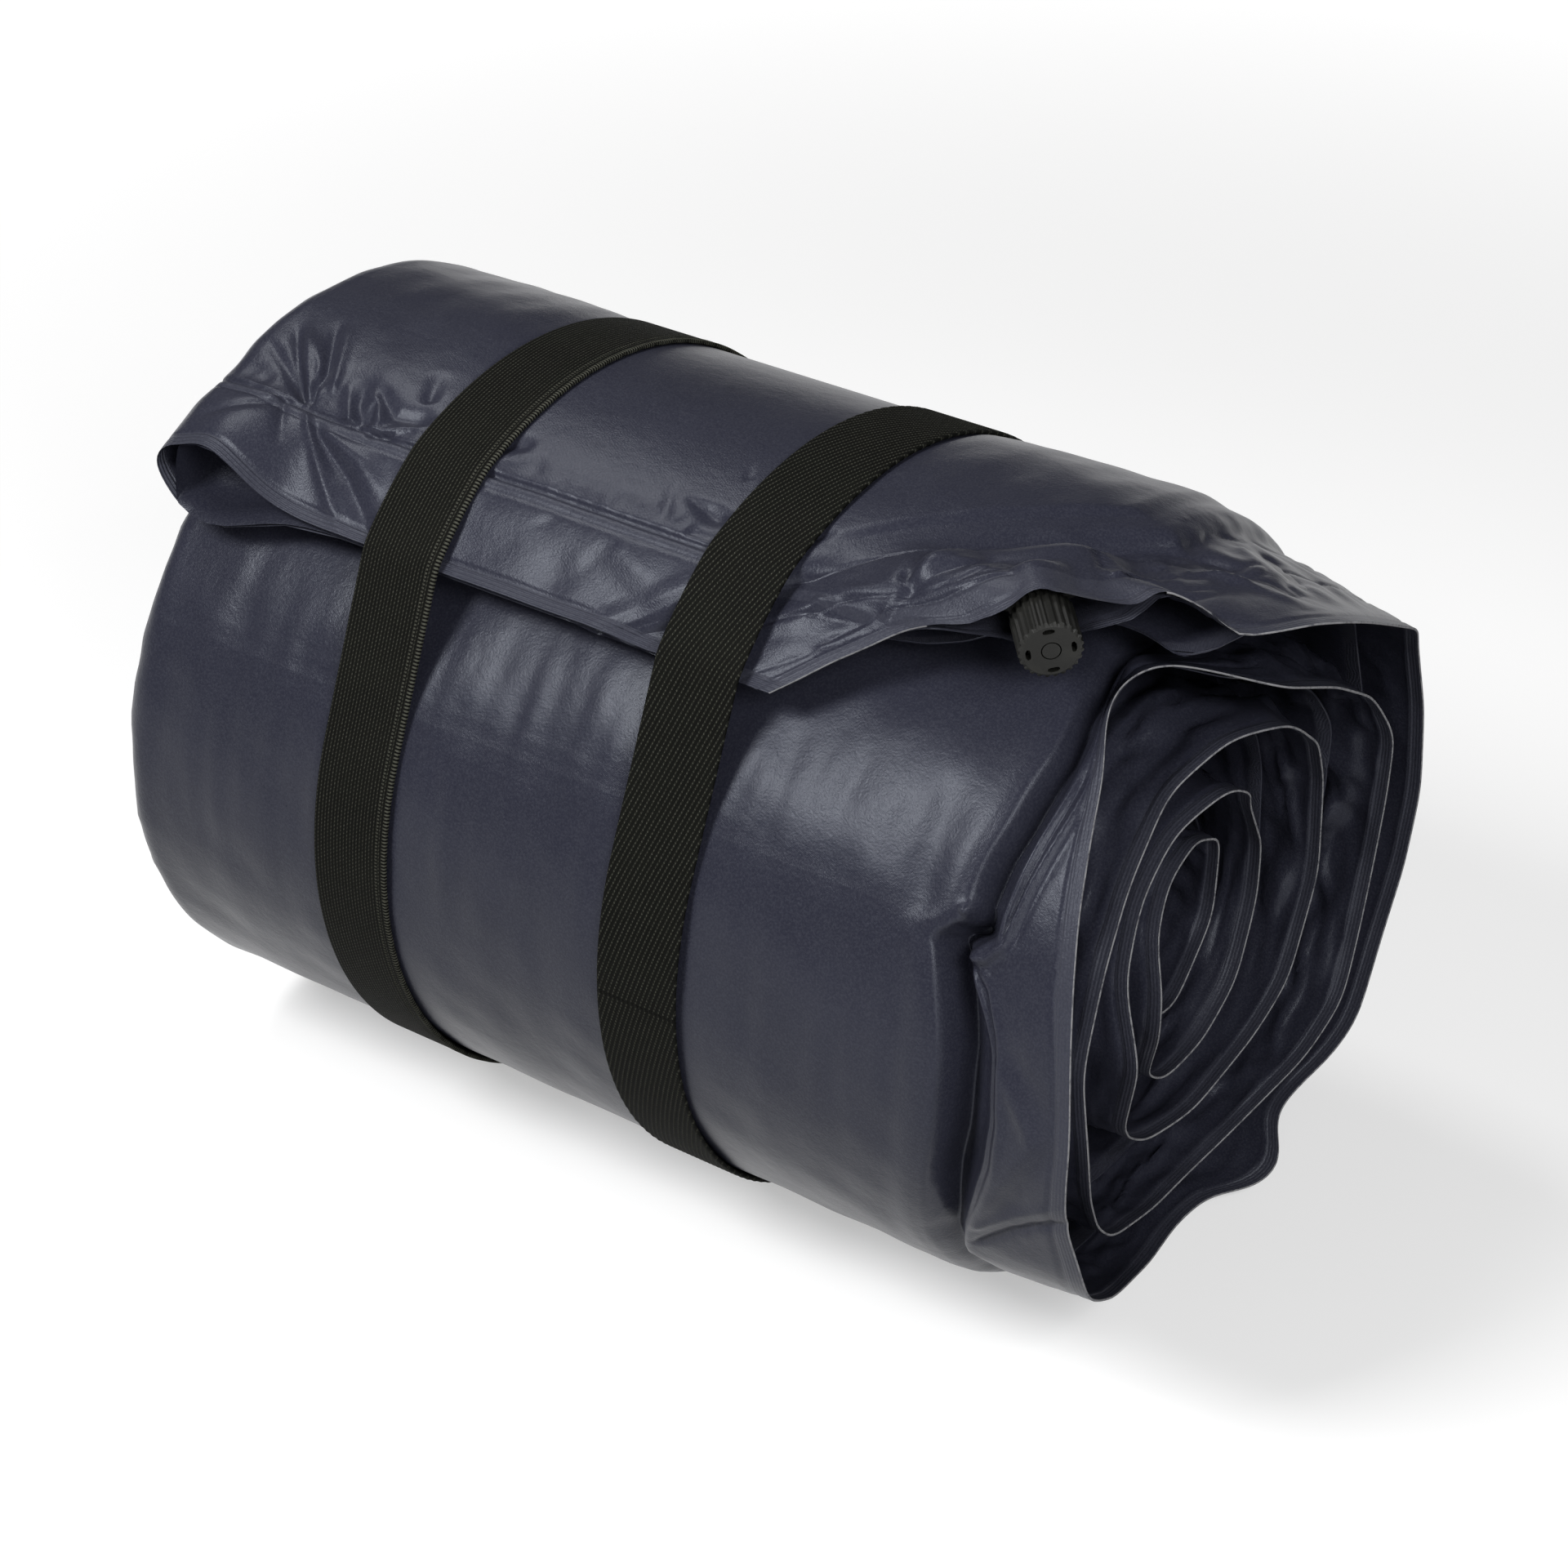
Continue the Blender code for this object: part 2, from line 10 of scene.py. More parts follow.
import bpy
import numpy as np
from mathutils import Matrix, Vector


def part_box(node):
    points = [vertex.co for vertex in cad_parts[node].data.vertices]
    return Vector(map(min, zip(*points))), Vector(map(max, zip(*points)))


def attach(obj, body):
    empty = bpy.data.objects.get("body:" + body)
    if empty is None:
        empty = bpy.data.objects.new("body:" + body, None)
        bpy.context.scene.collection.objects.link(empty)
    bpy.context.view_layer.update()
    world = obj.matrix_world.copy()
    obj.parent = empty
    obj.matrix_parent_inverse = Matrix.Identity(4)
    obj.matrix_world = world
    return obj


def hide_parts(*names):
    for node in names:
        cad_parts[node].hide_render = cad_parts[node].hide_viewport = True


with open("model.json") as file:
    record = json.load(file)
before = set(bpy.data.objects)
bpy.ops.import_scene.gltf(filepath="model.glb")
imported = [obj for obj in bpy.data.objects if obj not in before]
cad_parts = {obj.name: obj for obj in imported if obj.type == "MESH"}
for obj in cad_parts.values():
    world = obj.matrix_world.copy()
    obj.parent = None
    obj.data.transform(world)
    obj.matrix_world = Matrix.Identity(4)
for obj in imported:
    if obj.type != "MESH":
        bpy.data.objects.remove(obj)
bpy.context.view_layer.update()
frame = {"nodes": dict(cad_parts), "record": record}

bl_info = {
    "name": "Rolled sleeping mat",
    "version": (1, 0, 0),
    "blender": (4, 5, 0),
    "location": "View3D > Sidebar > Mat",
    "description": "Builds the fabric, straps, valve finish and studio of a rolled mat",
    "category": "Object",
}

MM = 0.001
DEG = math.pi / 180
TAU = 2 * math.pi
MAT_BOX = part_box("outer_sheet")

# The skirt's cut edge, from the mat's free end inwards: the angle wound so far, then the
# edge's own angle round the roll, its x and its radius. Degrees and millimetres.
CORNER_EDGE = (
    (0, 50.5, 46, 108), (3, 53.5, 52, 108.7), (6, 57.2, 59, 110), (9, 60.2, 66, 111.5),
    (12, 62.2, 71, 113.5), (14, 63.5, 75, 115), (16, 64.1, 79.5, 117), (17.3, 64.4, 83, 118.7),
    (18.8, 65.2, 90, 119.9), (20, 65.9, 94.3, 121), (21.3, 67, 98, 123.3), (22.6, 68, 102, 125.7),
    (24, 69.8, 105, 127), (25.5, 71, 108.6, 127.4), (27, 71.4, 113.4, 127),
    (28.3, 72.3, 116.8, 125), (29.5, 73.5, 119.3, 122.6), (30.6, 74.5, 122.5, 121),
    (31.8, 75.4, 126.3, 120.2), (32.8, 76.8, 127.6, 120.2), (33.6, 77.9, 128.2, 121),
    (34.6, 78.8, 129.8, 121), (35.6, 79.2, 132.5, 120.2), (36.6, 79.1, 137, 119.7),
    (37.7, 78.9, 141.4, 119.1), (39.5, 76.8, 152.5, 118.3), (41, 80, 158.5, 117),
    (44, 86, 163, 113), (50, 93, 165.5, 107.5), (57, 101, 165, 102), (66, 113, 162, 97),
    (85, 135, 157, 99),
)
# The rest of it, where the two angles agree: the angle round the roll, x and radius.
WOUND_EDGE = (
    (150, 150, 103), (165, 149.5, 103), (181, 150, 103), (195, 149.5, 102), (205, 148.5, 102),
    (221, 150, 101), (228, 147, 101), (235, 142, 100), (242, 141, 96), (247, 147.5, 104),
    (252, 144, 106), (258, 134, 103), (266, 132, 102), (278, 135, 100), (287, 138, 96.5),
    (297, 142, 94), (308, 146.5, 93.5), (318, 149.5, 95), (326, 152, 97.3), (333, 154, 98.5),
    (340, 153, 97), (347, 151.3, 97), (355, 152, 98), (364, 152, 97),
    (378, 149, 98), (387, 145.5, 98), (397, 141, 98), (410, 135, 97), (418, 131.5, 97.5),
    (425, 126, 101), (430, 125, 103), (436, 130, 102), (441, 137, 96), (448, 154, 89),
    (472, 154, 78), (495, 152, 78), (510, 148, 83), (520, 150, 85), (536, 148, 84),
    (551, 147, 84), (565, 148, 83), (579, 149.5, 84), (592, 146.5, 82), (615, 137, 82),
    (626, 135, 81), (641, 135.5, 80), (661, 137, 81), (672, 138, 78), (690, 142, 75),
    (708, 145, 75), (728, 143, 76), (748, 142, 74), (765, 140, 73), (786, 138, 73),
    (804, 143, 73), (817, 150, 71), (830, 148, 65), (860, 142, 63), (882, 138.5, 65),
    (911, 138.5, 66), (939, 139, 65), (955, 137, 63), (983, 134, 61), (1003, 131, 60),
    (1018, 132, 55), (1048, 140, 53), (1083, 149, 57), (1104, 141, 57), (1125, 138, 57),
    (1146, 137, 55), (1164, 143, 57), (1178, 143, 49), (1200, 137, 40), (1250, 131, 43),
    (1277, 129, 49), (1305, 131, 48), (1330, 131, 46), (1358, 131, 43), (1375, 131, 38),
    (1434, 143, 35), (1458, 143, 37), (1476, 138, 38), (1500, 134, 36), (1530, 132, 33),
    (1580, 128, 30), (1640, 126, 28), (1700, 128, 24), (1750, 131, 22), (1800, 130, 19),
    (1850.5, 128, 16),
)

# Creases in the outermost turn: the width, the depth at the first point and at the last, and
# the points that the crease runs through, each as the angle round the roll and x. Degrees
# and millimetres; a negative depth is a ridge.
CREASES = (
    # the fan above the weld's far node
    (1.6, 2.4, 0.3, ((67, -123), (71, -135), (75, -149))),
    (1.3, 3.0, 0.8, ((67, -123), (72, -132), (78, -142))),
    (1.3, -1.8, -0.8, ((68, -122), (73, -130), (79, -139))),
    (2.0, -2.0, -0.6, ((68, -119), (73, -125), (77, -135))),
    (1.7, 2.2, 0.9, ((67, -120), (72, -122), (81, -132))),
    (1.9, -1.6, -0.5, ((70, -116), (75, -121), (81, -128))),
    (2.2, 2.0, 0.7, ((66, -101), (69, -106), (73, -109))),
    (1.6, -1.4, -0.5, ((66, -105), (72, -114))),
    (1.2, 1.6, 0.8, ((66, -99), (70, -102))),
    (1.3, -1.5, -0.6, ((67, -96), (72, -104))),
    (1.9, 1.4, 2.2, ((72, -103), (69, -94), (70, -84))),
    (1.0, -1.5, -1.1, ((66, -101), (66, -94), (69, -83))),
    (1.3, 1.5, 1.0, ((65, -97), (66, -91), (68, -85))),
    (2.6, 1.5, 0.6, ((73, -88), (78, -92))),
    # below it, down to the hem and into the open corner
    (1.5, -2.2, -1.0, ((64, -117), (57, -103), (51, -91))),
    (2.2, 1.9, 1.5, ((63, -114), (58, -96), (52, -82))),
    (2.6, -1.5, -0.8, ((63, -110), (61, -95), (57, -83))),
    (2.0, 1.4, 0.5, ((65, -127), (58, -119))),
    (2.6, -1.3, -0.4, ((65, -129), (66, -147))),
    (2.0, 1.2, 0.7, ((64, -128), (56, -144))),
    # between the loops
    (2.4, 1.6, 0.8, ((70, -60), (72, -51))),
    (2.6, -0.8, -0.4, ((67, -60), (70, -48))),
    (1.5, 1.5, 0.5, ((73, -8), (67, -2))),
    (1.5, -1.1, -0.4, ((73, -5), (68, 1))),
    (2.2, 1.2, 1.8, ((72, -2), (70, 12))),
    (1.8, -1.0, -0.8, ((74, 0), (73, 13))),
    (1.6, 1.4, 0.6, ((78, 9), (84, 3))),
    (1.6, -1.2, -0.6, ((79, 11), (84, 6))),
    (1.2, 0.9, 0.5, ((67, 5), (67, 13))),
    (5.5, 0.5, 0.8, ((59, -17), (54, 6))),
    (4.0, -0.4, -0.2, ((62, -10), (57, 8))),
    (5.5, 0.4, 0.3, ((62, -34), (54, -21))),
    (6.0, 0.4, 0.2, ((58, -60), (55, -40))),
    # from the hem's near end up to the valve
    (2.0, 1.4, 0.5, ((71, 34), (74, 41))),
    (1.3, -1.3, -0.6, ((63.6, 48), (64, 57), (64, 64))),
    (1.5, 1.1, 0.6, ((62, 48), (62.6, 57), (63, 64))),
    (1.2, -1.0, -0.5, ((58, 54), (61.5, 62), (64.5, 68))),
    (1.2, 0.9, 0.4, ((59.3, 55), (62.8, 63), (65, 68))),
    (1.2, -1.5, -1.0, ((64, 67.5), (66.2, 69.5), (68.7, 70.2))),
    (1.2, 1.3, 0.8, ((65, 69), (67, 71), (69, 71.5))),
    # the soft folds over the valve's corner, and the top of its welded band
    (1.5, 2.4, 1.4, ((71.3, 70.7), (69.7, 69.2), (68.2, 70.3), (67.7, 72.9), (68.3, 75))),
    (2.4, 2.0, 0.4, ((69.2, 69), (71.3, 68), (74.6, 68.8), (77.6, 73), (80.2, 80))),
    (3.6, -2.0, -1.2, ((70.6, 71.5), (73.4, 74.2), (78, 80.4), (83, 87.4), (87.7, 93.3))),
    (1.7, 0.9, 2.2, ((68.4, 72), (70.8, 79), (72.6, 83), (75, 86.5), (77.3, 91.7), (80.2, 97.8))),
    (1.7, 2.2, 0.9, ((80.2, 97.8), (81.2, 104), (84.6, 103.7), (88.3, 100))),
    (1.4, -1.1, -0.6, ((81.9, 97), (84.6, 100), (88.4, 98.5))),
    (0.9, -1.0, -0.5, ((68.4, 71.8), (69.8, 75.7), (70.6, 82))),
    (1.0, -0.7, -0.4, ((67.4, 74.4), (68.8, 79.2), (69.8, 84.6))),
    (0.8, 0.8, 0.5, ((71, 86), (72.6, 89), (74.4, 91.3))),
    (2.2, 0.9, 0.5, ((81.8, 109), (84, 114.6), (86.3, 118.7))),
    (1.2, 1.8, 1.0, ((81, 116.5), (82, 118), (82.3, 120.8))),
    (1.1, -1.3, -0.7, ((80, 114.8), (82.2, 116.7), (83.4, 120), (83, 123.6))),
    (1.2, -1.0, -0.5, ((89.3, 117), (86.7, 122.5), (84.2, 128), (82.4, 132))),
    (1.4, 0.9, 0.4, ((88.3, 117), (85.6, 121.5), (83, 127))),
    (1.0, -0.9, -0.5, ((88.8, 113.5), (90.5, 115), (91.5, 117))),
    (3.4, 1.3, 0.7, ((92, 118), (95.4, 123), (97.2, 135))),
    (1.3, -0.8, -0.4, ((88.7, 124), (91.4, 132), (92, 140.5))),
    (0.9, 0.7, 0.3, ((83.8, 130.6), (87.3, 136.7))),
    # the corner's tip
    (2.4, 1.3, 0.6, ((93, 130), (95, 142), (94, 154))),
    (2.6, -1.3, -0.6, ((91, 128), (92, 142), (91, 154))),
    (3.0, 1.6, 0.8, ((110, 128), (100, 148))),
    (3.0, -1.3, -0.6, ((106, 124), (98, 138))),
)
# The same for the front of the skirt, in the roll's second turn: angles over 360.
FRONT_CREASES = (
    # the knot where the skirt's fold starts
    (2.0, 5.0, 2.0, ((389, 110.5), (389.4, 114), (389.8, 118), (390.4, 121.5))),
    (2.2, -1.6, -1.0, ((392, 111.5), (393.6, 115), (394, 119))),
    (1.0, -1.8, -1.2, ((387, 113.5), (386, 117), (386.8, 120.5), (389.5, 123.8))),
    (0.9, 1.5, 0.9, ((385, 115), (384.6, 118.5), (385.6, 122), (388.6, 125.2))),
    # the fine folds that run up from it
    (1.1, -0.9, -0.4, ((391, 123), (394, 122.5), (400, 123), (408, 124.2), (413, 125.4),
                       (420, 126))),
    (0.8, 1.5, 0.7, ((391, 123.8), (394, 124), (399, 124.6), (406.5, 126), (412, 127),
                     (417, 127.7))),
    (0.9, -1.4, -0.7, ((390, 124.2), (393, 124.9), (401, 126.3), (408, 128.2), (413, 129),
                       (418, 129.4))),
    (1.3, 0.9, 0.4, ((391, 127), (400, 128.8), (408, 130.8), (414, 131.4))),
    # the fold below it, its flat facet and the pleats at the foot
    (0.9, 1.7, 1.0, ((385, 117), (382, 122.5), (377, 126.5), (373, 128.5), (362, 130.3),
                     (354, 129.3), (346.5, 125.8), (337, 120.5))),
    (1.8, -0.8, -0.6, ((381, 125), (376, 129), (362, 132.6), (353, 131.5), (345, 128))),
    (2.6, -1.1, -0.8, ((370, 133), (366, 138), (362, 142), (355.5, 136.5), (347, 130), (338, 123))),
    (3.4, 0.9, 0.6, ((374, 133), (371, 139), (366, 145))),
    (3.0, 0.7, 0.5, ((362, 147), (354, 141.5), (346, 135))),
    (1.1, 1.6, 1.3, ((335, 124), (341, 134), (345, 142), (349, 152))),
    (1.8, -0.8, -0.6, ((339, 124), (346, 137), (352, 150))),
    (1.0, 0.6, 0.4, ((380, 120), (372, 124.5), (360, 125.5), (350, 122.5))),
    (1.2, -0.6, -0.4, ((380, 118), (372, 122), (360, 123), (350, 120))),
)
CREASE_LIMIT = 4.5 * MM
CREASE_RUN_ON = 4 * MM  # how far a crease runs on past its end points

# Where the front of the skirt folds over its weld, read along the roll's second turn: how
# far it does so, the foam's end and the fold's crest. The angle round the roll, millimetres.
HOLLOW_SHARE = ((318, 0), (328, 0.15), (338, 0.6), (350, 1), (386, 1), (391, 0.4), (405, 0.25),
                (424, 0.15), (440, 0))
FOAM_FRONT = ((285, 0), (300, 1), (330, 1), (424, 1), (440, 0))
FOAM_FRONT_X = ((300, 112), (331, 110), (346, 114), (354, 116.3), (359, 117), (370, 117),
                (375, 115.5), (378, 114.2), (382, 111.8), (385, 109.8), (387.5, 107.5),
                (389.5, 112), (391.5, 115.3), (395, 114.5), (401, 115), (407, 116.8),
                (414, 117.7), (419, 118.7), (425, 119.6), (440, 121))
HOLLOW_FOLD = ((318, 124), (330, 118.5), (337, 120.5), (346, 125), (354, 128.5), (362, 130),
               (373, 128), (378, 124), (382, 119.5), (386, 116), (388, 117.5), (390.5, 122),
               (394, 122), (400, 122.4), (408, 123.7), (413, 125), (420, 126), (430, 127))

# Where the foam's end stands steeply over the skirt's hollow.
STEEP_END = ((336, 0), (346, 1), (424, 1), (436, 0))

# A skirt's lines as shares of the way from its body to its edge, and the blur over them.
SKIRT_LINES = (-0.2, 0, 0.1, 0.18, 0.25, 0.41, 0.5, 1, 1.2)
SKIRT_BLUR = 0.018
BLUR_STEP = 0.0025

# The skirt's edge reaches the end of the sheets' box at the front of the outer turns.
CORE_BACK = 31 * MM  # how far back from there it lies at the core
REAR_BACK = 16 * MM  # how far back it lies at the rear of the outer turns
SKIRT_WIDTH = 36 * MM
REAR_LESS = 12 * MM  # how much narrower the skirt is at the rear of the outer turns
CORNER_BACK = 152.4 * MM  # how far back the cut corner takes the foam at the free end
CORNER_SLOPE = 1.19  # how fast the foam comes forward again, for each length of arc
FOAM_ROUND = 4 * MM

AIR = 0.3 * MM  # between a sheet's face and what it lies against
ENDS_STACK = (0, 1.1 * MM, 2.4 * MM, 3.5 * MM)  # the sheets' faces where no foam is
SKIRT_START = 7 * MM  # from the foam's end inwards to where the upper skirt starts
LOWER_START = 12 * MM  # from there inwards to where the lower skirt starts
LOWER_SET_BACK = 17 * MM  # from the upper skirt's edge back to the lower one's
LOWER_GAP = 0.8 * MM  # from the upper half's lining down to the lower skirt
FOLD_INSIDE = 1 * MM  # how deep the fold's inside is rounded

ARCH_CENTRE = -134 * MM  # where the free corner's arch is highest, along x
BOAT_HALF_WIDTH = 17 * MM
BOAT_HALF_HEIGHT = 5 * MM

LOOP_CENTRES = (-69 * MM, 26 * MM)
LOOPS_SLIDE = (-88 * MM, 45 * MM)  # the stretch of the roll that the loops pass over
LOOP_GAP = 0.2 * MM  # how proud the fabric may stand there

FLAP_END = 76 * DEG  # the outer sheet is in three pieces, joined at these angles wound
OUTER_END = 404 * DEG
SHEET_STEP = 2.3 * MM
DENSE_STEP = 0.55 * MM
THREAD_PITCH = 0.62 * MM

# The lights: where they stand, their width and their depth, in metres.
LIGHTS = {
    "key": ((-0.36, -0.70, 0.92), 0.30, 0.36),
    "top": ((-0.56, 0.18, 1.13), 0.32, 0.34),
    "fill": ((0.75, -1.00, 0.40), 0.50, 0.45),
    "end": ((0.85, -0.50, 0.85), 0.50, 0.45),
}
CAMERA_TARGET = (0.001, 0.0, 0.1034)
FLOOR_REACH = 14.0


def roll():
    """The roll's sizes."""
    return bpy.context.scene.mat_roll


def smooth(t):
    """A rise from 0 to 1 that starts and ends level."""
    t = np.clip(t, 0, 1)
    return t * t * (3 - 2 * t)


def hump(value, centre, width):
    """1 at centre, falling to 0 in a bell of that width."""
    return np.exp(-(((value - centre) / width) ** 2))


def between(value, low, high, rise, fall):
    """1 from low to high and 0 beyond, with a smooth rise after low and fall before high."""
    return smooth((value - low) / rise) * smooth((high - value) / fall)


def unwound(angle, near):
    """The angle, give or take whole turns, that lies nearest to another one."""
    return near + (angle - near + math.pi) % TAU - math.pi


def value_noise(seed, *axes, octaves=3):
    """Smooth noise from -1 to 1: a seeded sum of waves whose pitch halves each octave."""
    draw = np.random.default_rng(seed)
    total, weight = 0.0, 0.0
    for octave in range(octaves):
        for _ in range(5):
            ways = draw.normal(size=len(axes))
            ways *= TAU * 2**octave / max(1e-6, float(np.linalg.norm(ways)))
            phase = draw.uniform(0, TAU)
            wave = sum(w * a for w, a in zip(ways, axes)) + phase
            total = total + np.sin(wave) * 0.6**octave
        weight += 5 * 0.6**octave
    return total / weight * 2.2


def place(x, radius, angle):
    """The point at that x, radius and angle round the roll's axis; angle 0 faces -Y."""
    mat = roll()
    y = mat.axis_y - radius * np.cos(angle)
    z = mat.axis_z + radius * np.sin(angle)
    return np.stack(np.broadcast_arrays(x, y, z), -1)


def radius_at(s):
    """The outer face: it falls one pitch a turn, and a little more at the free end."""
    mat = roll()
    near_end = smooth(1 - s / mat.end_margin)
    return mat.outer_radius - mat.pitch * s / TAU - mat.end_drop * near_end


def foam_share(s):
    """0 where the sheets lie together at the mat's ends, 1 where foam holds them apart."""
    mat = roll()
    return smooth(np.minimum(s / mat.end_margin, (TAU * mat.turns - s) / (60 * DEG)))


def depths(s):
    """Depths of the four sheet faces, from the outside in."""
    mat = roll()
    full = (0, mat.pitch / 2 - AIR, mat.pitch / 2, mat.pitch - AIR)
    share = foam_share(s)
    return [a + (b - a) * share for a, b in zip(ENDS_STACK, full)]


def foam_end(s):
    """Where the foam stops: a skirt's width in from the edge, and back from the corner."""
    mat = roll()
    angle = mat.free_angle + s
    rear = (1 - np.cos(angle)) / 2
    outer = np.clip(radius_at(s) / (mat.outer_radius - mat.pitch), 0, 1)
    edge = MAT_BOX[1][0] - CORE_BACK + outer * (CORE_BACK - REAR_BACK * rear)
    skirt_width = SKIRT_WIDTH - REAR_LESS * rear * outer
    corner = MAT_BOX[1][0] - CORNER_BACK + CORNER_SLOPE * s * mat.outer_radius
    stop = np.minimum(edge - skirt_width, corner) - FOAM_ROUND
    front = read_off(FOAM_FRONT, angle)
    return stop + (read_off(FOAM_FRONT_X, angle) * MM - stop) * front


def run_along(points):
    """The length run at each point of a line, or of each row of a grid."""
    steps = np.linalg.norm(np.diff(points, axis=-2), axis=-1)
    return np.insert(np.cumsum(steps, axis=-1), 0, 0, axis=-1)


def read_line(at, run, line):
    """The line's columns at those lengths along it, straight between its points."""
    return np.stack([np.interp(at, run, column) for column in np.transpose(line)], -1)


def soften(line, width, reach, closed=False):
    """Blur a line of evenly spaced points by a bell of that many of them, cut off at reach."""
    bell = np.exp(-((np.arange(-reach, reach + 1) / width) ** 2) / 2)
    bell /= bell.sum()
    ends = {"mode": "wrap"} if closed else {"mode": "reflect", "reflect_type": "odd"}
    wide = np.pad(line, ((reach, reach), (0, 0)), **ends)
    return np.stack([np.convolve(column, bell, mode="valid") for column in wide.T], 1)


def edge_curve(s):
    """The skirt's edge: straight chords from kink to kink, rounded off a little."""
    first = roll().free_angle / DEG
    rows = list(CORNER_EDGE) + [(angle - first, angle, x, r) for angle, x, r in WOUND_EDGE]
    wound, angle, x, radius = np.array(rows, dtype=float).T
    kinks = place(x * MM, radius * MM, angle * DEG)
    run = run_along(kinks)
    at = np.arange(0, run[-1], MM)
    line, turned = read_line(at, run, kinks), np.interp(at, run, wound * DEG)
    share = smooth((turned - 35 * DEG) / (30 * DEG))[:, None]
    line = soften(line, 2, 6) * (1 - share) + soften(line, 5, 15) * share
    return read_line(s, turned, line)


def polar(points):
    """The radius and the angle of points round the roll's axis."""
    mat = roll()
    y, z = points[..., 1] - mat.axis_y, points[..., 2] - mat.axis_z
    return np.hypot(y, z), np.arctan2(z, -y)


def outward(points):
    """The unit vectors that point away from the roll's axis."""
    _, angle = polar(points)
    return np.stack([0 * angle, -np.cos(angle), np.sin(angle)], -1)


def read_off(table, angle):
    """A value from a table of angles in degrees, averaged over a degree each way."""
    table = np.array(table, dtype=float)
    near = [np.interp(np.degrees(angle) + k, table[:, 0], table[:, 1]) for k in (-1, 0, 1)]
    return sum(near) / 3


def lower_edge(s):
    """The lower half's skirt edge: set back, and close under the upper one's."""
    upper = edge_curve(s)
    radius, angle = polar(upper)
    under = np.minimum(radius - 3 * MM, 104 * MM + 3 * MM * smooth(s / (120 * DEG)))
    return place(upper[..., 0] - LOWER_SET_BACK, under, angle)


def skirt_weights(t):
    """The share of each of the skirt's lines at t: straight between them, then blurred."""
    count = round((SKIRT_LINES[-1] - SKIRT_LINES[0]) / BLUR_STEP) + 1
    fine = np.linspace(SKIRT_LINES[0], SKIRT_LINES[-1], count)
    hats = read_line(fine, SKIRT_LINES, np.eye(len(SKIRT_LINES)))
    return read_line(t, fine, soften(hats, SKIRT_BLUR / BLUR_STEP, 60))


def skirt(s, t, base, start_x, edge, dip, drape):
    """A skirt: over the foam's rounded end, down to the weld line, over a fold, to the edge.

    t runs from 0 at the body to 1 at the edge. Each row passes the lines whose x and radius
    are set below, at the shares of SKIRT_LINES, and is straight between them but for the
    blur. It leaves the body at the body's angle and turns evenly to the edge's.
    """
    angle = roll().free_angle + s
    edge_x = edge[..., 0]
    edge_radius, edge_angle = polar(edge)
    turn = unwound(edge_angle, angle) - angle
    width = edge_x - start_x
    bent = drape * read_off(HOLLOW_SHARE, angle)
    steep = drape * read_off(STEEP_END, angle)
    steered = np.clip(4 * bent, 0, 1)
    tight = MM * np.clip(width / (19 * MM), 0.3, 1)
    # the crest of the fold
    fold_x = start_x + 0.5 * width
    fold_x = fold_x + (read_off(HOLLOW_FOLD, angle) * MM - fold_x) * steered
    fold_x = np.minimum(fold_x, start_x + 0.82 * width)
    low = base - dip
    fold_r = (low + edge_radius) / 2 + 1.2 * MM
    fold_r = fold_r + (base - 2.0 * MM * bent - fold_r) * steered
    # the foot of the foam's end, and the hollow between it and the crest
    toe_x = start_x + (11 - 2.5 * steep) * tight
    toe_r = low - (7 * bent + 2 * steep) * MM
    floor_x = toe_x + (fold_x - toe_x) * 0.64
    floor_r = toe_r + (fold_r - toe_r) * (0.64 - 0.16 * steered)
    lines = (
        (start_x - 9 * MM, base),
        (start_x, base),
        (start_x + 4.5 * tight, base - 0.12 * dip),
        (start_x + (8.5 - 1.5 * steep) * tight, base - 0.5 * dip - (2 * bent + steep) * MM),
        (toe_x, toe_r),
        (floor_x, floor_r),
        (fold_x, fold_r),
        (edge_x, edge_radius),
        (edge_x + 0.4 * (edge_x - fold_x), edge_radius + 0.4 * (edge_radius - fold_r)),
    )
    weights = skirt_weights(t).T
    x, radius = (np.stack(values, -1) @ weights for values in zip(*lines))
    swing = turn[:, None] * (np.maximum(SKIRT_LINES, 0) @ weights)
    return place(x, radius, angle[:, None] + swing)


def crease_depth(creases, angle, x):
    """The creases' depth at a place: each is a groove along its points, tapered at its ends.

    Across a groove the depth falls as exp(-(distance / width) ** power), where a wider
    groove has a higher power and so a rounder floor. The sum is bent to stay in a limit.
    """
    reach = roll().outer_radius
    total = 0 * angle * x
    for width, near, far, points in creases:
        line = np.array(points, dtype=float) * (reach * DEG, MM)
        run = run_along(line)
        closest, share = 1.0 + 0 * total, 0 * total
        for k, length in enumerate(np.diff(run)):
            along = (line[k + 1] - line[k]) / length
            du, dv = angle * reach - line[k][0], x - line[k][1]
            low = -CREASE_RUN_ON if k == 0 else 0
            high = length + (CREASE_RUN_ON if k == len(run) - 2 else 0)
            held = np.clip(du * along[0] + dv * along[1], low, high)
            away = np.hypot(du - held * along[0], dv - held * along[1])
            nearer = away < closest
            closest = np.where(nearer, away, closest)
            share = np.where(nearer, (run[k] + held) / run[-1], share)
        inside = np.clip(share, 0, 1)
        wide = width * MM * (0.75 + 0.5 * inside)
        power = min(max(0.9 + 0.3 * width, 1.2), 2)
        ends = between(share, -0.12, 1.15, 0.2, 0.35)
        depth = (near + (far - near) * inside) * MM
        total = total + depth * ends * np.exp(-((closest / wide) ** power))
    return CREASE_LIMIT * np.tanh(total / CREASE_LIMIT)


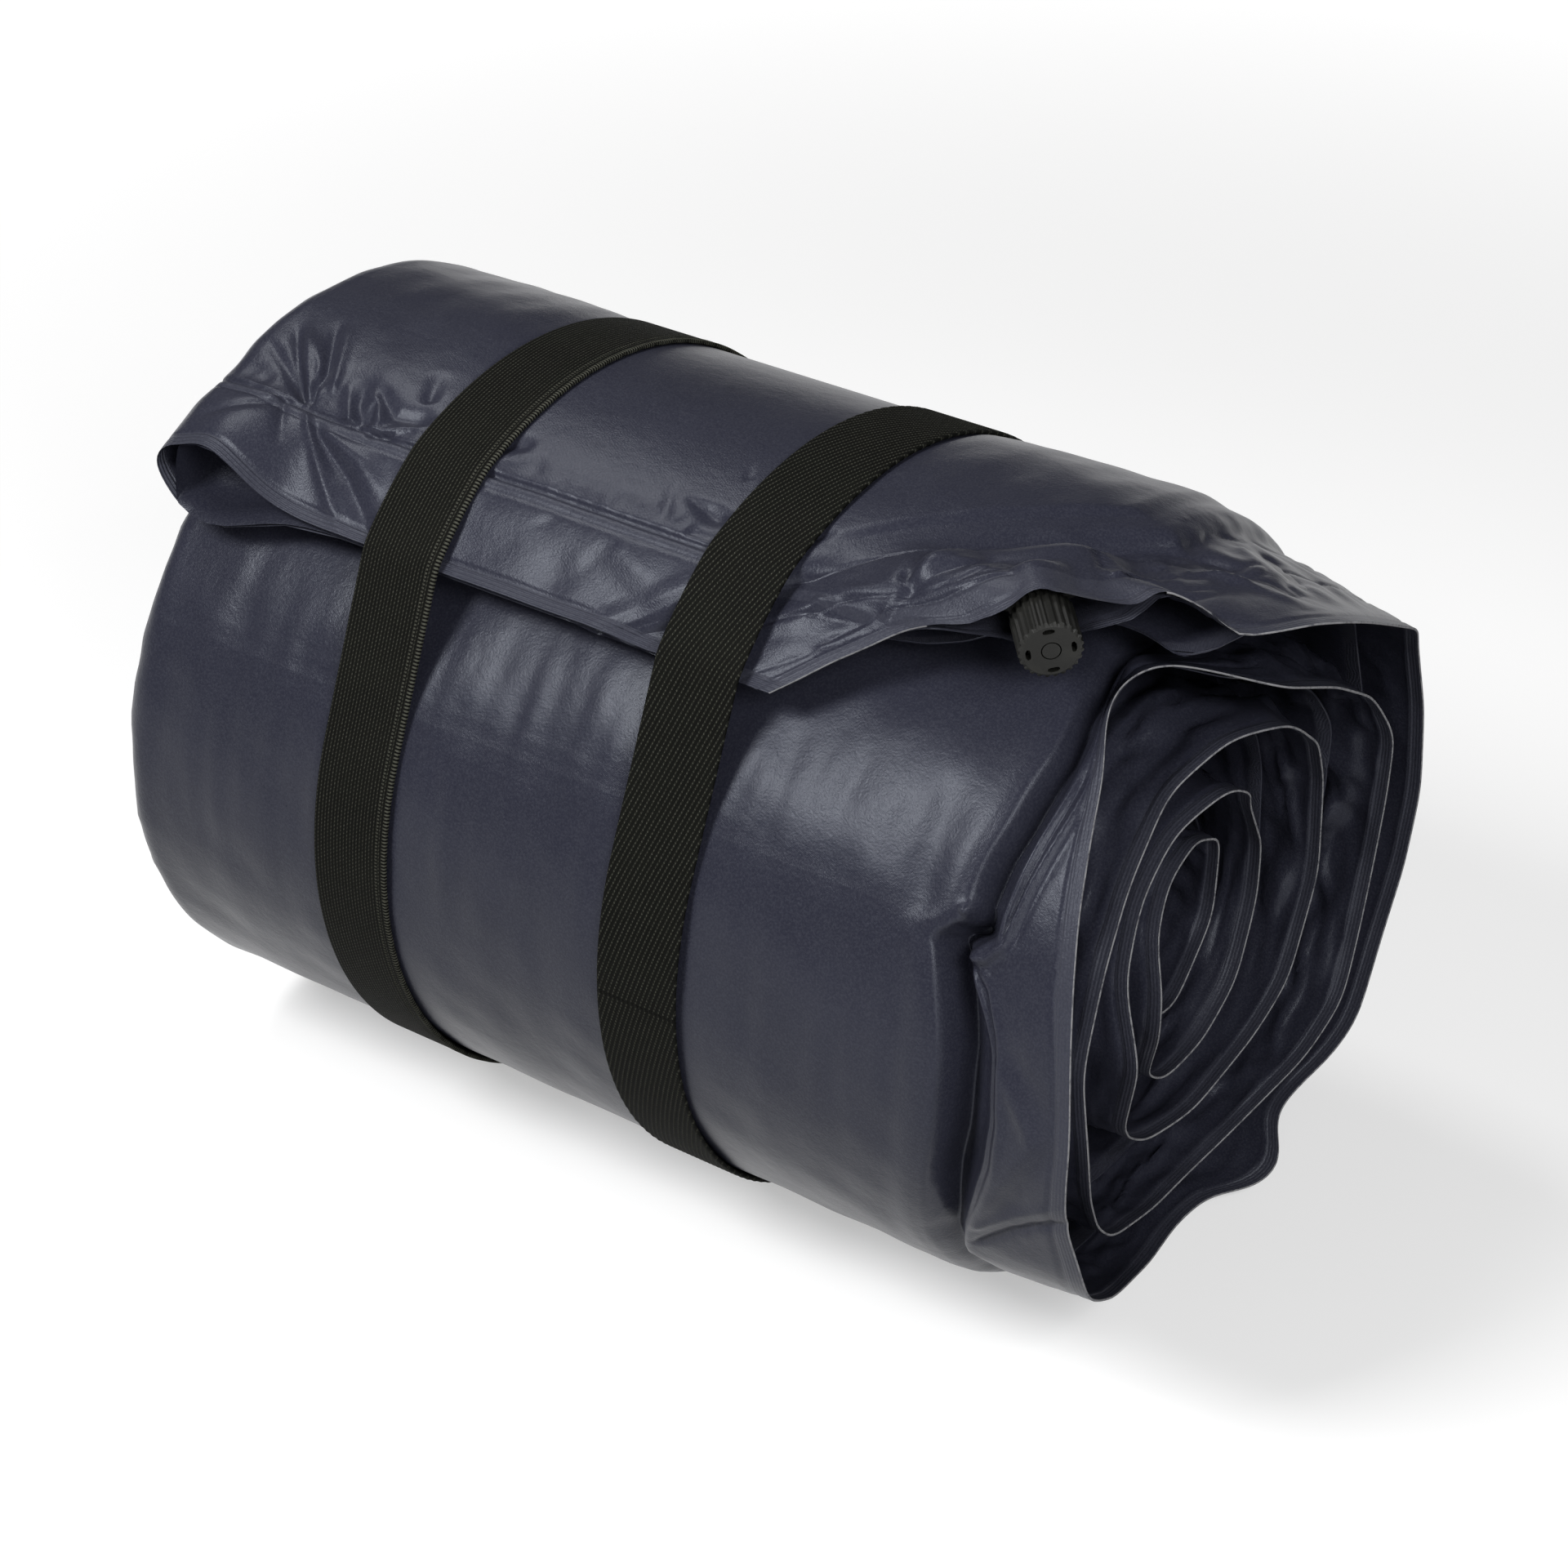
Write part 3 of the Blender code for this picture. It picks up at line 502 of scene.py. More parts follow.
def valve_frame():
    """The valve's own frame: Z out of the mat along its axis, X along the cut edge."""
    joint = next(j for j in frame["record"]["behaviour"]["joints"] if j["name"] == "cap_turn")
    axis = Vector(joint["axis"]).normalized()
    centre = Vector(joint["pos_m"])
    mat = roll()
    away = Vector((0, centre.y - mat.axis_y, centre.z - mat.axis_z)).normalized()
    across = axis.cross(away).normalized()
    up = across.cross(axis)
    return centre, across, up, axis


def clear_of_valve(points, above):
    """Push points off the valve: over its boat, collar and cap, or under them.

    The push is towards a lens over the boat, half an ellipse across, that opens into a bell
    over the barrel. It starts behind the boat, and dies away beside it.
    """
    centre, across, up, axis = (np.array(v) for v in valve_frame())
    local = points - centre
    a, h, t = local @ across, local @ up, local @ axis
    tall, wide = (9.7 * MM, 11 * MM) if above else (8.8 * MM, 10 * MM)
    lens = BOAT_HALF_HEIGHT * np.sqrt(np.clip(1 - (a / BOAT_HALF_WIDTH) ** 2, 0, 1))
    bell = np.maximum(lens, tall * hump(a, 0, wide))
    mouth = smooth((t + 4 * MM) / (7 * MM))
    want = (lens + (bell - lens) * mouth + 0.4 * MM) * (1 if above else -1)
    lift = np.maximum(0, want - h) if above else np.minimum(0, want - h)
    lift = lift * between(t, -20 * MM, 40 * MM, 12 * MM, 8 * MM)
    lift = lift * smooth((28 * MM - np.abs(a)) / (11 * MM))
    return points + lift[..., None] * up


def body_relief(s, x):
    """How far the outermost turn's face lies below a smooth cylinder, in metres."""
    mat = roll()
    angle = mat.free_angle + s
    arc = s * mat.outer_radius
    # soft pleats that hang below the flap, and dents over all the rest
    below = between(angle, 345 * DEG, 414 * DEG, 25 * DEG, 12 * DEG)
    pleat = value_noise(3, x / (17 * MM), arc / (160 * MM), octaves=2)
    dents = value_noise(5, x / (60 * MM), arc / (80 * MM))
    lines = 0.3 * MM * below * (0.6 + pleat) + 0.45 * MM * (0.7 + dents)
    # ripples above the hem
    above = between(s, mat.end_margin, 58 * DEG, 4 * DEG, 40 * DEG)
    ripple = value_noise(11, x / (26 * MM), arc / (55 * MM))
    lines = lines + 0.22 * MM * above * np.clip(0.4 + ripple, 0, 2)
    # the fabric stands a little proud between the loops
    proud = between(angle, 64 * DEG, 150 * DEG, 12 * DEG, 30 * DEG)
    pinch = sum(hump(x, centre, 17 * MM) for centre in LOOP_CENTRES)
    lines = lines - 2.0 * MM * proud * np.clip(1 - pinch, 0, 1)
    # puckers along the weld line, the weld's two grooves and the hem's one
    weld = mat.end_margin * mat.outer_radius
    pucker = value_noise(17, x / (9 * MM), arc / (30 * MM), octaves=2)
    lines = lines + 0.16 * MM * hump(arc, weld + 4 * MM, 5 * MM) * (0.5 + pucker)
    grooves = ((weld, 1.5, 0.85), (weld - mat.weld_band, 0.4, 0.5), (mat.weld_band, 0.5, 0.5))
    for line, deep, wide in grooves:
        lines = lines + deep * MM * hump(arc, line, wide * MM)
    return lines


def free_corner(s, x, lower):
    """The open arch at the flap's far corner: a lift in metres, and a turn of the hem."""
    close = smooth(1 - s / (19 * DEG))
    arch = hump(x, ARCH_CENTRE, 19 * MM)
    if lower:
        inside = smooth((s - 1 * DEG) / (5 * DEG))
        return (0.5 - 7 * inside) * MM * arch * close, -4.8 * DEG * arch * close
    lift = (12 * arch + 3.2 * hump(x, -155 * MM, 12 * MM)) * MM * close
    turn = 3.6 * DEG * hump(x, -136 * MM, 17 * MM) + 1.8 * DEG * hump(x, -158 * MM, 9 * MM)
    return lift, turn * close


def fold_wave(s):
    """How far the fold's rim stands back from its furthest reach, in shallow scallops."""
    mat = roll()
    arc = s * (mat.outer_radius - mat.pitch * s / TAU / 2)
    return 1.5 * MM * np.abs(value_noise(23, arc / (48 * MM), s * 0.3) + 0.3) ** 0.8


def half_points(rows, x, depth, mix=0):
    """A half's points at x and a depth. mix is 0 on the upper half and 1 on the lower.

    The free corner's lift and turn are mixed from what the two halves have of them.
    """
    corner = zip(free_corner(rows, x, False), free_corner(rows, x, True))
    lift, turn = (upper + (lower - upper) * mix for upper, lower in corner)
    angle = roll().free_angle + rows
    return place(x, radius_at(rows) - depth + lift, angle + turn)


def cover_points(s, detail):
    """The outer sheet on stations s, as sheet_grid returns it.

    detail is the number of columns on the upper half's face; over 100 also gives it its
    creases and dents.
    """
    mat = roll()
    fine = detail > 100
    rows = s[:, None]
    d = depths(rows)
    start_x = foam_end(rows) - SKIRT_START
    fold = MAT_BOX[0][0] + mat.fold_depth

    # the upper skirt, edge first
    t = np.concatenate([np.linspace(1, 0.9, 9), np.linspace(0.88, 0, 72 if fine else 22)])
    points, weld = upper_skirt(s, t)
    if fine:
        points = points - outward(points) * corner_creases(s, points)[..., None]
        first = (rows < math.pi)[..., None]
        points = np.where(first, clear_of_valve(points, True), points)

    # the upper half's face, the fold as half an ellipse, and the lower half's face
    x = start_x + (fold - start_x) * np.linspace(0, 1, detail + 1)[1:-1]
    face = half_points(rows, x, face_relief(rows, x, start_x) if fine else 0)
    around = np.linspace(0, math.pi, 14)
    x = fold - (mat.fold_depth - fold_wave(rows)) * np.sin(around)
    relief = face_relief(rows, x, start_x) * np.clip(np.cos(around), 0, 1) if fine else 0
    depth = (d[0] + d[3] - (d[3] - d[0]) * np.cos(around)) / 2 + relief
    bend = half_points(rows, x, depth, (1 - np.cos(around)) / 2)
    x = fold + (start_x - LOWER_START - fold) * np.linspace(0, 1, 8)[1:-1]
    back = half_points(rows, x, d[3], 1)
    lower = lower_skirt(s, depths(s)[3], -3.5 * MM, 0.6 * MM)
    return sheet_grid((points, weld), (face, bend, back), lower)


def face_relief(rows, x, start_x):
    """The outermost face's creases, and its dents where it is clear of the skirt.

    Where the loops slide, nothing stands prouder than the gap under them.
    """
    angle = roll().free_angle + rows
    creases = crease_depth(CREASES, angle, x) * (rows < math.pi)
    relief = creases + body_relief(rows, x) * smooth((start_x - x) / (8 * MM))
    swept = between(x, *LOOPS_SLIDE, 6 * MM, 6 * MM)
    return np.maximum(relief, -LOOP_GAP - 5 * MM * (1 - swept))


def corner_creases(s, points):
    """The creases' depth in the skirt: the outermost turn's, then those at the front."""
    wound = roll().free_angle + s
    _, angle = polar(points)
    x, total = points[..., 0], np.zeros(points.shape[:2])
    first, front = s < math.pi, (wound > 325 * DEG) & (wound < 430 * DEG)
    if first.any():
        total[first] = crease_depth(CREASES, angle[first] % TAU, x[first])
    if front.any():
        near = unwound(angle[front], wound[front][:, None])
        total[front] = crease_depth(FRONT_CREASES, near, x[front])
    return total


def skirt_relief(rows, t, seed):
    """Soft dents in a skirt, none at the body and none at the edge.

    A crisp groove runs where a noise is near 0: it is (1 - |noise|) to a high power.
    """
    mat = roll()
    arc = rows * (mat.outer_radius - mat.pitch * rows / TAU)
    noise = value_noise(seed, arc / (46 * MM), t * 1.1)
    fine = value_noise(seed + 1, arc / (15 * MM), t * 2.0, octaves=2)
    groove = (1 - np.abs(value_noise(seed + 2, arc / (60 * MM), t * 1.5))) ** 6
    pucker = (1 - np.abs(value_noise(seed + 3, arc / (20 * MM), t * 2.2, octaves=2))) ** 8
    inner = smooth((rows - 385 * DEG) / (40 * DEG))
    at_front = between(rows, 262 * DEG, 378 * DEG, 12 * DEG, 12 * DEG)
    bold = (0.6 + 1.5 * inner) * (1 - 0.75 * at_front)
    height = bold * (1.5 * noise + 0.5 * fine - 1.2 * groove) - 1.1 * inner * pucker
    return height * MM * between(t, 0, 1, 0.3, 0.35)


def upper_skirt(s, t, lining=False):
    """The upper half's skirt and its weld band: its outer sheet, or the lining under that."""
    mat = roll()
    start_x = foam_end(s) - SKIRT_START
    base = radius_at(s)
    depth, thick = 0, 0 * s
    dip = 5 * MM * (1 - 1.3 * hump(s, 24.5 * DEG, 8 * DEG))
    if lining:
        depth, thick = depths(s)[1], under_edge(s)
        dip = 5.9 * MM - depth
    edge = edge_curve(s)
    edge = edge - outward(edge) * thick[:, None]
    lift, _ = free_corner(s, start_x, False)
    points = skirt(s, t, base - depth + lift, start_x, edge, dip, 1.0)
    width = np.linalg.norm(edge - place(start_x, base, mat.free_angle + s), axis=-1)
    away = (1 - t) * width[:, None]
    corner = between(s, 13 * DEG, 42 * DEG, 5 * DEG, 6 * DEG)[:, None]
    band = mat.weld_band + 10 * MM * corner
    height = skirt_relief(s[:, None], t, 31) - 0.4 * MM * hump(away, mat.weld_band, 0.6 * MM)
    height = height - 0.6 * MM * corner * hump(away, band, 0.8 * MM)
    weld = np.where(away < mat.weld_band, 1.0, 0.65 * (away < band))
    return points + outward(points) * height[..., None], weld


def under_lining(s, points, gap):
    """The lower half's skirt, pressed down after half a turn to lie under the upper half's.

    What stands over the upper half's lining less the gap, h, falls by (h + hypot(h, g)) / 2.
    """
    t = np.linspace(0, 1, 40)
    lining, _ = upper_skirt(s, t, True)
    radius, _ = polar(lining)
    x, line = points[..., 0], lining[..., 0]
    k = np.clip((x[:, :, None] > line[:, None, :]).sum(-1) - 1, 0, len(t) - 2)
    before, after = (np.take_along_axis(line, k + n, 1) for n in (0, 1))
    first, last = (np.take_along_axis(radius, k + n, 1) for n in (0, 1))
    share = np.clip((x - before) / np.maximum(after - before, 0.01 * MM), 0, 1)
    over = polar(points)[0] - (first + (last - first) * share - gap)
    drop = (over + np.hypot(over, 0.6 * MM)) / 2 * (s > math.pi)[:, None]
    return points - outward(points) * drop[..., None]


def lower_skirt(s, depth, dip, thick):
    """The lower half's skirt at a depth, and its weld band."""
    mat = roll()
    t = np.concatenate([np.linspace(1, 0.86, 6), np.linspace(0.82, 0, 14)])
    base = radius_at(s) - depth
    start_x = foam_end(s) - SKIRT_START - LOWER_START
    edge = lower_edge(s)
    edge = edge - outward(edge) * thick
    points = skirt(s, t, base, start_x, edge, dip, 0.0)
    points = points + outward(points) * skirt_relief(s[:, None], t, 37)[..., None]
    points = under_lining(s, points, LOWER_GAP + thick)
    width = np.linalg.norm(edge - place(start_x, base, mat.free_angle + s), axis=-1)
    return points, ((1 - t) * width[:, None] < mat.weld_band).astype(float)


def lining_points(s):
    """The inner sheet on stations s, as sheet_grid returns it: the underside of the outer."""
    rows = s[:, None]
    d = depths(rows)
    start_x = foam_end(rows) - SKIRT_START
    fold = MAT_BOX[0][0] + roll().fold_depth + FOLD_INSIDE
    t = np.concatenate([np.linspace(1, 0.9, 8), np.linspace(0.87, 0, 26)])
    points, weld = upper_skirt(s, t, True)
    points = np.where((rows < math.pi)[..., None], clear_of_valve(points, False), points)
    share = np.linspace(0, 1, 22)
    face = half_points(rows, start_x + (fold - start_x) * share[1:], d[1])
    around = np.linspace(0, math.pi, 7)[1:-1]
    mix = (1 - np.cos(around)) / 2
    x = fold - FOLD_INSIDE * np.sin(around) + 0 * rows
    bend = half_points(rows, x, d[1] + (d[2] - d[1]) * mix, mix)
    x = fold + (start_x - LOWER_START - fold) * share[:-1]
    back = half_points(rows, x, d[2], 1)
    return sheet_grid((points, weld), (face, bend, back), lower_skirt(s, depths(s)[2], 3 * MM, 0))


def under_edge(s):
    """How far the inner sheet's edge lies under the outer's: welded, but open at the valve."""
    return (0.5 + 14 * hump(s, 25.5 * DEG, 5.5 * DEG)) * MM


def sheet_grid(upper, middle, lower):
    """Join a sheet's blocks of columns, from its upper edge over the fold to its lower edge.

    Returns the grid of points, the length run across the sheet at each, and a mask of the
    weld bands, which only the skirts have.
    """
    points = np.concatenate([upper[0], *middle, lower[0][:, ::-1]], axis=1)
    plain = np.zeros((len(points), sum(part.shape[1] for part in middle)))
    weld = np.concatenate([upper[1], plain, lower[1][:, ::-1]], axis=1)
    return points, run_along(points), weld


def stations(first, last, step, dense=()):
    """Angles along the mat, one every step of length, with closer ones in dense spans."""
    mat = roll()
    s, found = first, []
    while s < last:
        found.append(s)
        near = any(a <= s * mat.outer_radius <= b for a, b in dense)
        radius = mat.outer_radius - mat.pitch * s / TAU - mat.pitch / 2
        s += (DENSE_STEP if near else step) / radius
    return np.array(found + [last])


def grid_faces(rows, columns, ring=False, loop=False, flip=False):
    """Quads of a grid. ring joins the last column to the first, and loop the last row."""
    index = np.arange(rows * columns).reshape(rows, columns)
    if ring:
        index = np.hstack([index, index[:, :1]])
    if loop:
        index = np.vstack([index, index[:1]])
    quads = np.stack([index[:-1, :-1], index[:-1, 1:], index[1:, 1:], index[1:, :-1]], -1)
    return quads.reshape(-1, 4)[:, [0, 3, 2, 1] if flip else [0, 1, 2, 3]]


def add_mesh(name, points, faces, material, uv=None, weld=None):
    """A mesh object from points and quads, with a UV map in metres and a mask of the welds."""
    mesh = bpy.data.meshes.new(name)
    mesh.from_pydata(points.reshape(-1, 3), [], faces)
    if uv is not None:
        layer = mesh.uv_layers.new(name="cloth")
        loops = np.empty(len(mesh.loops), dtype=np.int32)
        mesh.loops.foreach_get("vertex_index", loops)
        layer.data.foreach_set("uv", uv.reshape(-1, 2)[loops].astype(np.float32).ravel())
    if weld is not None:
        mask = mesh.attributes.new("weld", "FLOAT", "POINT")
        mask.data.foreach_set("value", weld.astype(np.float32).ravel())
    mesh.shade_smooth()
    mesh.materials.append(material)
    mesh.update()
    item = bpy.data.objects.new(name, mesh)
    bpy.context.collection.objects.link(item)
    return item


def add_grid(name, points, across, weld, material, along):
    """A cloth grid whose UV map is its length along and across the sheet, in metres."""
    uv = np.stack([np.broadcast_to(along[:, None], across.shape), across], -1)
    return add_mesh(name, points, grid_faces(*across.shape), material, uv, weld)


class Sock:
    """A shader value that takes part in Python arithmetic."""

    def __init__(self, graph, socket):
        self.graph, self.socket = graph, socket

    def __add__(self, other):
        return self.graph.math("ADD", self, other)

    __radd__ = __add__

    def __mul__(self, other):
        return self.graph.math("MULTIPLY", self, other)

    __rmul__ = __mul__

    def __sub__(self, other):
        return self.graph.math("SUBTRACT", self, other)

    def __rsub__(self, other):
        return self.graph.math("SUBTRACT", other, self)


class Graph:
    """A material's nodes."""

    def __init__(self, name):
        self.material = bpy.data.materials.new(name)
        self.material.use_nodes = True
        self.tree = self.material.node_tree
        self.shader = self.tree.nodes["Principled BSDF"]

    def node(self, kind, settings=None, output=0, **inputs):
        """Add a node: its settings first, then the values or links of its sockets.

        A socket goes by its name, with _ for a space, or by i and its number.
        """
        node = self.tree.nodes.new(kind)
        for key, value in (settings or {}).items():
            setattr(node, key, value)
        for key, value in inputs.items():
            socket = int(key[1:]) if key[1:].isdigit() else key.replace("_", " ")
            self.feed(node.inputs[socket], value)
        return Sock(self, node.outputs[output])

    def feed(self, socket, value):
        """Link a socket to a shader value, or set it; a colour gets its alpha of 1."""
        if isinstance(value, Sock):
            self.tree.links.new(value.socket, socket)
        elif hasattr(value, "__len__") and len(socket.default_value) == len(value) + 1:
            socket.default_value = (*value, 1)
        else:
            socket.default_value = value

    def math(self, operation, a, b=0.0, clamp=False):
        """One step of arithmetic on two values."""
        settings = {"operation": operation, "use_clamp": clamp}
        return self.node("ShaderNodeMath", settings, i0=a, i1=b)

    def mix(self, factor, a, b, blend="MIX"):
        """A colour between two others, or one blended over the other."""
        settings = {"data_type": "RGBA", "blend_type": blend, "clamp_factor": True}
        return self.node("ShaderNodeMix", settings, output=2, i0=factor, i6=a, i7=b)

    def ramp(self, value, low, high):
        """0 below low, 1 above high, smooth between."""
        settings = {"interpolation_type": "SMOOTHSTEP"}
        return self.node("ShaderNodeMapRange", settings, i0=value, i1=low, i2=high)

    def noise(self, scale, detail=2.0, roughness=0.5):
        """Noise from 0 to 1 in the object's own space."""
        return self.node("ShaderNodeTexNoise", None, Vector=self.object_point(), Scale=scale,
                         Detail=detail, Roughness=roughness)

    def wave(self, value, pitch):
        """A sine of a length, from -1 to 1, once every pitch."""
        return self.math("SINE", value * (TAU / pitch))

    def bump(self, height, distance, strength=1.0, **normal):
        """A surface normal tilted by a height, over another normal if one is given."""
        return self.node("ShaderNodeBump", None, Height=height, Distance=distance,
                         Strength=strength, **normal)

    def object_point(self):
        """The place in the object's own space."""
        return self.node("ShaderNodeTexCoord", output="Object")

    def cloth_lengths(self):
        """The lengths along and across the cloth, in metres, from its UV map."""
        uv = self.node("ShaderNodeUVMap", {"uv_map": "cloth"})
        along = self.node("ShaderNodeSeparateXYZ", Vector=uv)
        return along, Sock(self, along.socket.node.outputs["Y"])

    def mask(self, name):
        """A value stored at each point of the mesh."""
        return self.node("ShaderNodeAttribute", {"attribute_name": name}, output="Fac")

    def surface(self, **inputs):
        """Feed the shader's sockets and give the finished material."""
        for key, value in inputs.items():
            self.feed(self.shader.inputs[key.replace("_", " ")], value)
        return self.material


def coated_fabric(name, shade):
    """Satin coated polyester: a stippled grain, faint blotches, ribbed and paler weld bands.

    shade scales its colours; below 1 it gives a darker copy of the fabric, as painted shade.
    The weld mask is 1 on the skirt's welds and 2 along the hem.
    """
    look = bpy.context.scene.mat_finish
    g = Graph(name)
    along, across = g.cloth_lengths()
    blotch = g.noise(38, 3, 0.55)
    cloud = g.noise(9)
    grain = g.noise(1700, 2, 0.6)
    weld = g.mask("weld")
    on_weld = g.math("MINIMUM", weld, 1.0)
    colour = g.mix(blotch * 0.5 + cloud * 0.5, look.fabric_dark, look.fabric_light)
    colour = g.mix(g.ramp(grain, 0.35, 0.75) * 0.35 + on_weld * 0.4, colour, look.fabric_weld)
    colour = g.mix(1.0, colour, (shade, shade, shade), "MULTIPLY")
    warp = g.wave(along + across * 0.5, THREAD_PITCH)
    weft = g.wave(across - along * 0.5, THREAD_PITCH)
    ribs = g.wave(across, 0.95 * MM) * g.ramp(weld, 0.7, 0.95) * (1 - g.ramp(weld, 1.1, 1.4))
    hem_ribs = g.wave(along, 1.0 * MM) * g.ramp(weld, 1.6, 1.9)
    soft = g.bump(g.noise(55, 4, 0.62), 1.6 * MM, look.crumple)
    height = warp * weft * 0.05 + grain * (on_weld * 0.5 + 0.6) + ribs * 0.25 + hem_ribs * 1.2
    rough = grain * 0.10 + blotch * 0.08 + on_weld * 0.08 + (look.fabric_roughness - 0.08)
    return g.surface(Base_Color=colour, Roughness=rough,
                     Normal=g.bump(height, 0.17 * MM, 0.7, Normal=soft),
                     Specular_IOR_Level=0.18, Specular_Tint=(0.86, 0.91, 1.0))


def cut_edge():
    """The pale raw edge of the cut fabric."""
    look = bpy.context.scene.mat_finish
    g = Graph("cut_edge")
    fuzz = g.noise(420, 3, 0.7)
    colour = g.mix(g.ramp(fuzz, 0.2, 0.6), look.fabric_light, look.raw_edge)
    return g.surface(Base_Color=colour, Roughness=0.8, Normal=g.bump(fuzz, 0.3 * MM, 0.5))


def grained(name, low, high, noise, roughness, bump):
    """A finish with one even grain, both between its two colours and as a bump."""
    g = Graph(name)
    grain = g.noise(*noise)
    return g.surface(Base_Color=g.mix(grain, low, high), Roughness=roughness,
                     Normal=g.bump(grain, *bump))


def woven_elastic(name, twill):
    """Woven elastic: pale strands on dark gaps, in columns or in slanting ribs.

    A strand is where a sine across the rib and one along it are both high.
    """
    look = bpy.context.scene.mat_finish
    size = bpy.context.scene.mat_straps
    g = Graph(name)
    along, across = g.cloth_lengths()
    if twill:
        rib = g.wave(across + along * size.twill_slope, size.rib_pitch)
        pick = g.wave(along - across * 0.9, 1.3 * MM)
    else:
        rib = g.wave(across, 1.1 * MM)
        pick = g.wave(along + across * 0.7, 1.15 * MM)
    fuzz = g.noise(1500, 3, 0.6)
    strand = g.ramp(rib, 0.0, 1.0) * (g.ramp(pick, -0.4, 0.9) * 0.8 + 0.2)
    shade = g.mix(g.noise(60, 3), look.elastic_dark, look.elastic)
    colour = g.mix(strand * (g.ramp(fuzz, 0.3, 0.65) * 0.6 + 0.4), shade, look.elastic_fleck)
    if not twill:
        # the loops of thread round the +X edge, and the row of them beside it
        beside = across - size.width / 2
        rim = g.ramp(beside, -1.6 * MM, -1.2 * MM)
        row = g.ramp(beside, -3.6 * MM, -3.3 * MM) * (1 - g.ramp(beside, -3.0 * MM, -2.7 * MM))
        loops = g.ramp(g.wave(along, size.loop_pitch), -0.5, 0.6)
        sewn = g.mix(loops, look.elastic_dark, look.elastic_fleck)
        colour = g.mix(rim + row * 0.8, colour, sewn)
    height = strand * 0.8 + fuzz * 0.3
    return g.surface(Base_Color=colour, Roughness=0.8, Normal=g.bump(height, 0.5 * MM),
                     Specular_IOR_Level=0.08)


def valve_plastic():
    """Moulded plastic with a fine matte grain, rubbed a little paler in places."""
    look = bpy.context.scene.mat_finish
    g = Graph("valve_plastic")
    grain = g.noise(1400, 3, 0.6)
    rub = g.ramp(g.noise(160, 3), 0.5, 0.75)
    return g.surface(Base_Color=g.mix(rub * 0.35, look.plastic, look.plastic_rubbed),
                     Roughness=grain * 0.15 + 0.42, Normal=g.bump(grain, 0.10 * MM, 0.5),
                     Specular_IOR_Level=0.25)


def a_number(name, description, default):
    """A plain number that the user may change."""
    return bpy.props.FloatProperty(name=name, description=description, default=default)


def a_length(name, description, default):
    """A length that the user may change, in metres."""
    return bpy.props.FloatProperty(name=name, description=description, default=default,
                                   unit="LENGTH")


def an_angle(name, description, degrees):
    """An angle that the user may change, given here in degrees."""
    return bpy.props.FloatProperty(name=name, description=description, default=degrees * DEG,
                                   subtype="ANGLE")


def a_colour(name, description, default):
    """A colour that the user may change."""
    return bpy.props.FloatVectorProperty(name=name, description=description, default=default,
                                         subtype="COLOR")


class RollSizes(bpy.types.PropertyGroup):
    """Sizes of the roll, as its solids have them."""

    outer_radius: a_length("Outer radius", "Radius of the roll at its free end", 115 * MM)
    pitch: a_length("Pitch", "How far the spiral moves in over one turn", 18.6 * MM)
    turns: bpy.props.IntProperty(name="Turns", description="Turns in the roll", default=5)
    axis_y: a_length("Axis y", "The roll's axis along Y", -4.647 * MM)
    axis_z: a_length("Axis height", "Height of the roll's axis", 104.903 * MM)
    free_angle: an_angle("Free end", "Angle of the free end round the roll", 50.5)
    end_margin: an_angle("Welded margin", "Angle from the hem to the foam", 15)
    end_drop: a_length("Free end's drop", "How far the hem lies in from the spiral", 5 * MM)
    fold_depth: a_length("Fold", "Length over which the fold turns round", 9 * MM)
    weld_band: a_length("Weld band", "Width of the welded band", 4 * MM)


class FinishColours(bpy.types.PropertyGroup):
    """Colours and finishes."""

    fabric_dark: a_colour("Fabric, dark", "Darker blotches of the fabric",
                          (0.0148, 0.0153, 0.0245))
    fabric_light: a_colour("Fabric, light", "Lighter blotches of the fabric",
                           (0.0235, 0.0245, 0.038))
    fabric_weld: a_colour("Weld", "Welded bands of the fabric", (0.052, 0.054, 0.070))
    fabric_roughness: a_number("Fabric roughness", "Roughness of the coated fabric", 0.30)
    crumple: a_number("Crumple", "Strength of the soft small dents", 0.25)
    raw_edge: a_colour("Raw edge", "Cut edge of the fabric", (0.23, 0.23, 0.24))
    foam: a_colour("Foam", "Foam core", (0.60, 0.56, 0.42))
    foam_dark: a_colour("Foam, dark", "Deeper cells of the foam", (0.32, 0.29, 0.20))
    elastic: a_colour("Elastic", "Woven elastic", (0.0045, 0.0048, 0.0035))
    elastic_dark: a_colour("Elastic, dark", "Darker threads of the elastic",
                           (0.0015, 0.0015, 0.0012))
    elastic_fleck: a_colour("Elastic, flecks", "Lighter threads of the elastic",
                            (0.062, 0.063, 0.050))
    plastic: a_colour("Plastic", "Valve plastic", (0.009, 0.009, 0.008))
    plastic_rubbed: a_colour("Plastic, rubbed", "Rubbed places of the valve plastic",
                             (0.026, 0.026, 0.023))
    rubber: a_colour("Rubber", "Seals of the valve", (0.020, 0.020, 0.020))
    rubber_dark: a_colour("Rubber, dark", "Darker places of the seals", (0.008, 0.008, 0.008))


class StrapSizes(bpy.types.PropertyGroup):
    """Sizes of the two elastic loops."""

    width: a_length("Width", "Width of the elastic", 25 * MM)
    thickness: a_length("Thickness", "Thickness of the elastic", 1.4 * MM)
    relief: a_length("Relief", "Height of the woven ribs", 0.22 * MM)
    rib_pitch: a_length("Rib pitch", "From rib to rib of the twill, across the loop", 1.45 * MM)
    twill_slope: a_number("Twill slope", "How far the ribs move across for each step along",
                          0.33)
    loop_pitch: a_length("Edge loops", "From loop to loop of the far strap's sewn edge",
                         1.0 * MM)


